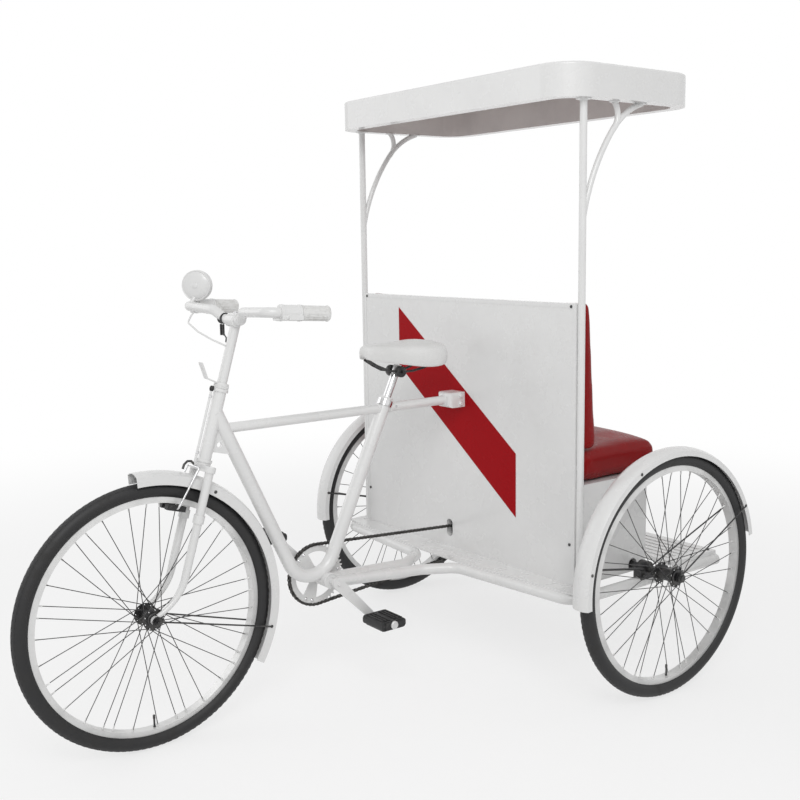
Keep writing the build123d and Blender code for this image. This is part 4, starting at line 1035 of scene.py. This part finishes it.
for copy in patterns:  # every grower has made its mesh
    bpy.data.objects.remove(copy)
print("details in place")


# Seat pads: filled by a short cloth run, and flat where they rest
pads = {"seat_cushion": {"inset": 0.007, "cap": 0.011, "voxel": 0.007, "bevel": 0.014, "soft": 16,
                         "spread": (0.0, 0.0), "crown": 0.020, "backrest": 0.078, "slope": 0.10,
                         "rest": "low"},
        "seat_backrest": {"inset": 0.004, "cap": 0.006, "voxel": 0.0065, "bevel": 0.008, "soft": 5,
                          "spread": (0.009, 0.003), "rest": "front"}}
filling = {"pressure": 4, "stiffness": 14, "quality": 4, "steps": 20, "evening": 60}
lift = {"bed": 0.0005, "foot": 0.001, "dip": 0.001}  # clear of what the pads rest on, and under the top


def padMesh(node, pad):  # the solid with round edges, a little smaller, as the filling swells it
    low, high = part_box(node)
    middle = (low + high) / 2
    shape = bmesh.new()
    shape.from_mesh(nodes[node].data)
    bmesh.ops.remove_doubles(shape, verts=shape.verts, dist=1e-5)
    bmesh.ops.dissolve_limit(shape, angle_limit=radians(1), verts=shape.verts, edges=shape.edges)
    for vert in shape.verts:
        for axis in range(3):
            side = 1 if vert.co[axis] > middle[axis] else -1
            vert.co[axis] -= side * pad["inset"]
    bmesh.ops.bevel(shape, geom=shape.edges[:], offset=pad["bevel"], segments=3, affect="EDGES",
                    clamp_overlap=True)
    carrier = bpy.data.objects.new("carrier", meshFrom(shape, node + "_pad", 180))
    bpy.context.scene.collection.objects.link(carrier)
    if pad["rest"] == "low":
        carrier.location.z = -pad["inset"]
    else:
        carrier.location.x = pad["inset"]
    remesh = carrier.modifiers.new("even", "REMESH")
    remesh.mode = "VOXEL"
    remesh.voxel_size = pad["voxel"]
    remesh.use_smooth_shade = True
    softer = carrier.modifiers.new("softer", "SMOOTH")
    softer.factor = 0.5
    softer.iterations = pad["soft"]
    bpy.context.view_layer.update()
    even = bpy.data.meshes.new_from_object(carrier.evaluated_get(bpy.context.evaluated_depsgraph_get()))
    even.transform(carrier.matrix_world)
    bpy.data.objects.remove(carrier)
    return even


def evened(mesh, moves):  # the swelling without its creases
    ends = np.array([edge.vertices[:] for edge in mesh.edges])
    ends = np.concatenate([ends, ends[:, ::-1]])
    neighbours = np.bincount(ends[:, 0], minlength=len(moves))[:, None]
    for _ in range(filling["evening"]):
        total = np.zeros_like(moves)
        np.add.at(total, ends[:, 0], moves[ends[:, 1]])
        moves = (moves + total / neighbours) / 2
    return moves


def swell(piece, pad):  # as far as its cap lets it
    cloth = piece.modifiers.new("fill", "CLOTH")
    cloth.settings.use_pressure = True
    cloth.settings.uniform_pressure_force = filling["pressure"]
    cloth.settings.effector_weights.gravity = 0
    cloth.settings.tension_stiffness = cloth.settings.compression_stiffness = filling["stiffness"]
    cloth.settings.quality = filling["quality"]
    scene = bpy.context.scene
    for step in range(1, filling["steps"] + 1):
        scene.frame_set(step)
    seen = piece.evaluated_get(bpy.context.evaluated_depsgraph_get())
    verts = piece.data.vertices
    moves = np.array([after.co - before.co for before, after in zip(verts, seen.data.vertices)])
    piece.modifiers.remove(cloth)
    scene.frame_set(1)
    for vert, move in zip(verts, evened(piece.data, moves)):
        move = Vector(move)
        if move.length > pad["cap"]:
            move *= pad["cap"] / move.length
        vert.co += move


def settle(mesh, node, pad):  # out to the room that the pad has, and flat on what carries it
    low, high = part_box(node)
    back, side = pad["spread"]
    start, end = low - Vector((back, side, 0)), high + Vector((0, side, 0))
    for axis in range(3):
        places = [vert.co[axis] for vert in mesh.vertices]
        first, last = min(places), max(places)
        for vert, place in zip(mesh.vertices, places):
            vert.co[axis] = start[axis] + (place - first) / (last - first) * (end[axis] - start[axis])
    for vert in mesh.vertices:
        if pad["rest"] == "low":  # crowned behind the backrest
            room = min(max((high.x - pad["backrest"] - vert.co.x) / pad["slope"], 0), 1)
            crown = pad["crown"] * room * room * (3 - 2 * room) * (1 - (vert.co.y / high.y) ** 2)
            up = max(2 * (vert.co.z - low.z) / (high.z - low.z) - 1, 0)
            vert.co.z = max(vert.co.z, low.z + lift["bed"]) + (crown - lift["dip"]) * up
        else:
            vert.co.x = min(vert.co.x, high.x - lift["bed"])
            vert.co.z = max(vert.co.z, low.z + lift["foot"])


for node, pad in pads.items():
    mesh = padMesh(node, pad)
    piece = bpy.data.objects.new(node + "_cover", mesh)
    bpy.context.scene.collection.objects.link(piece)
    swell(piece, pad)
    settle(mesh, node, pad)
    mesh.shade_smooth()
    mesh.materials.clear()
    mesh.materials.append(finishes["upholstery_red"])
    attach(piece, "chassis")
    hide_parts(node)
    smoother = piece.modifiers.new("smooth", "SUBSURF")
    smoother.levels = smoother.render_levels = 1
print("seat pads filled")
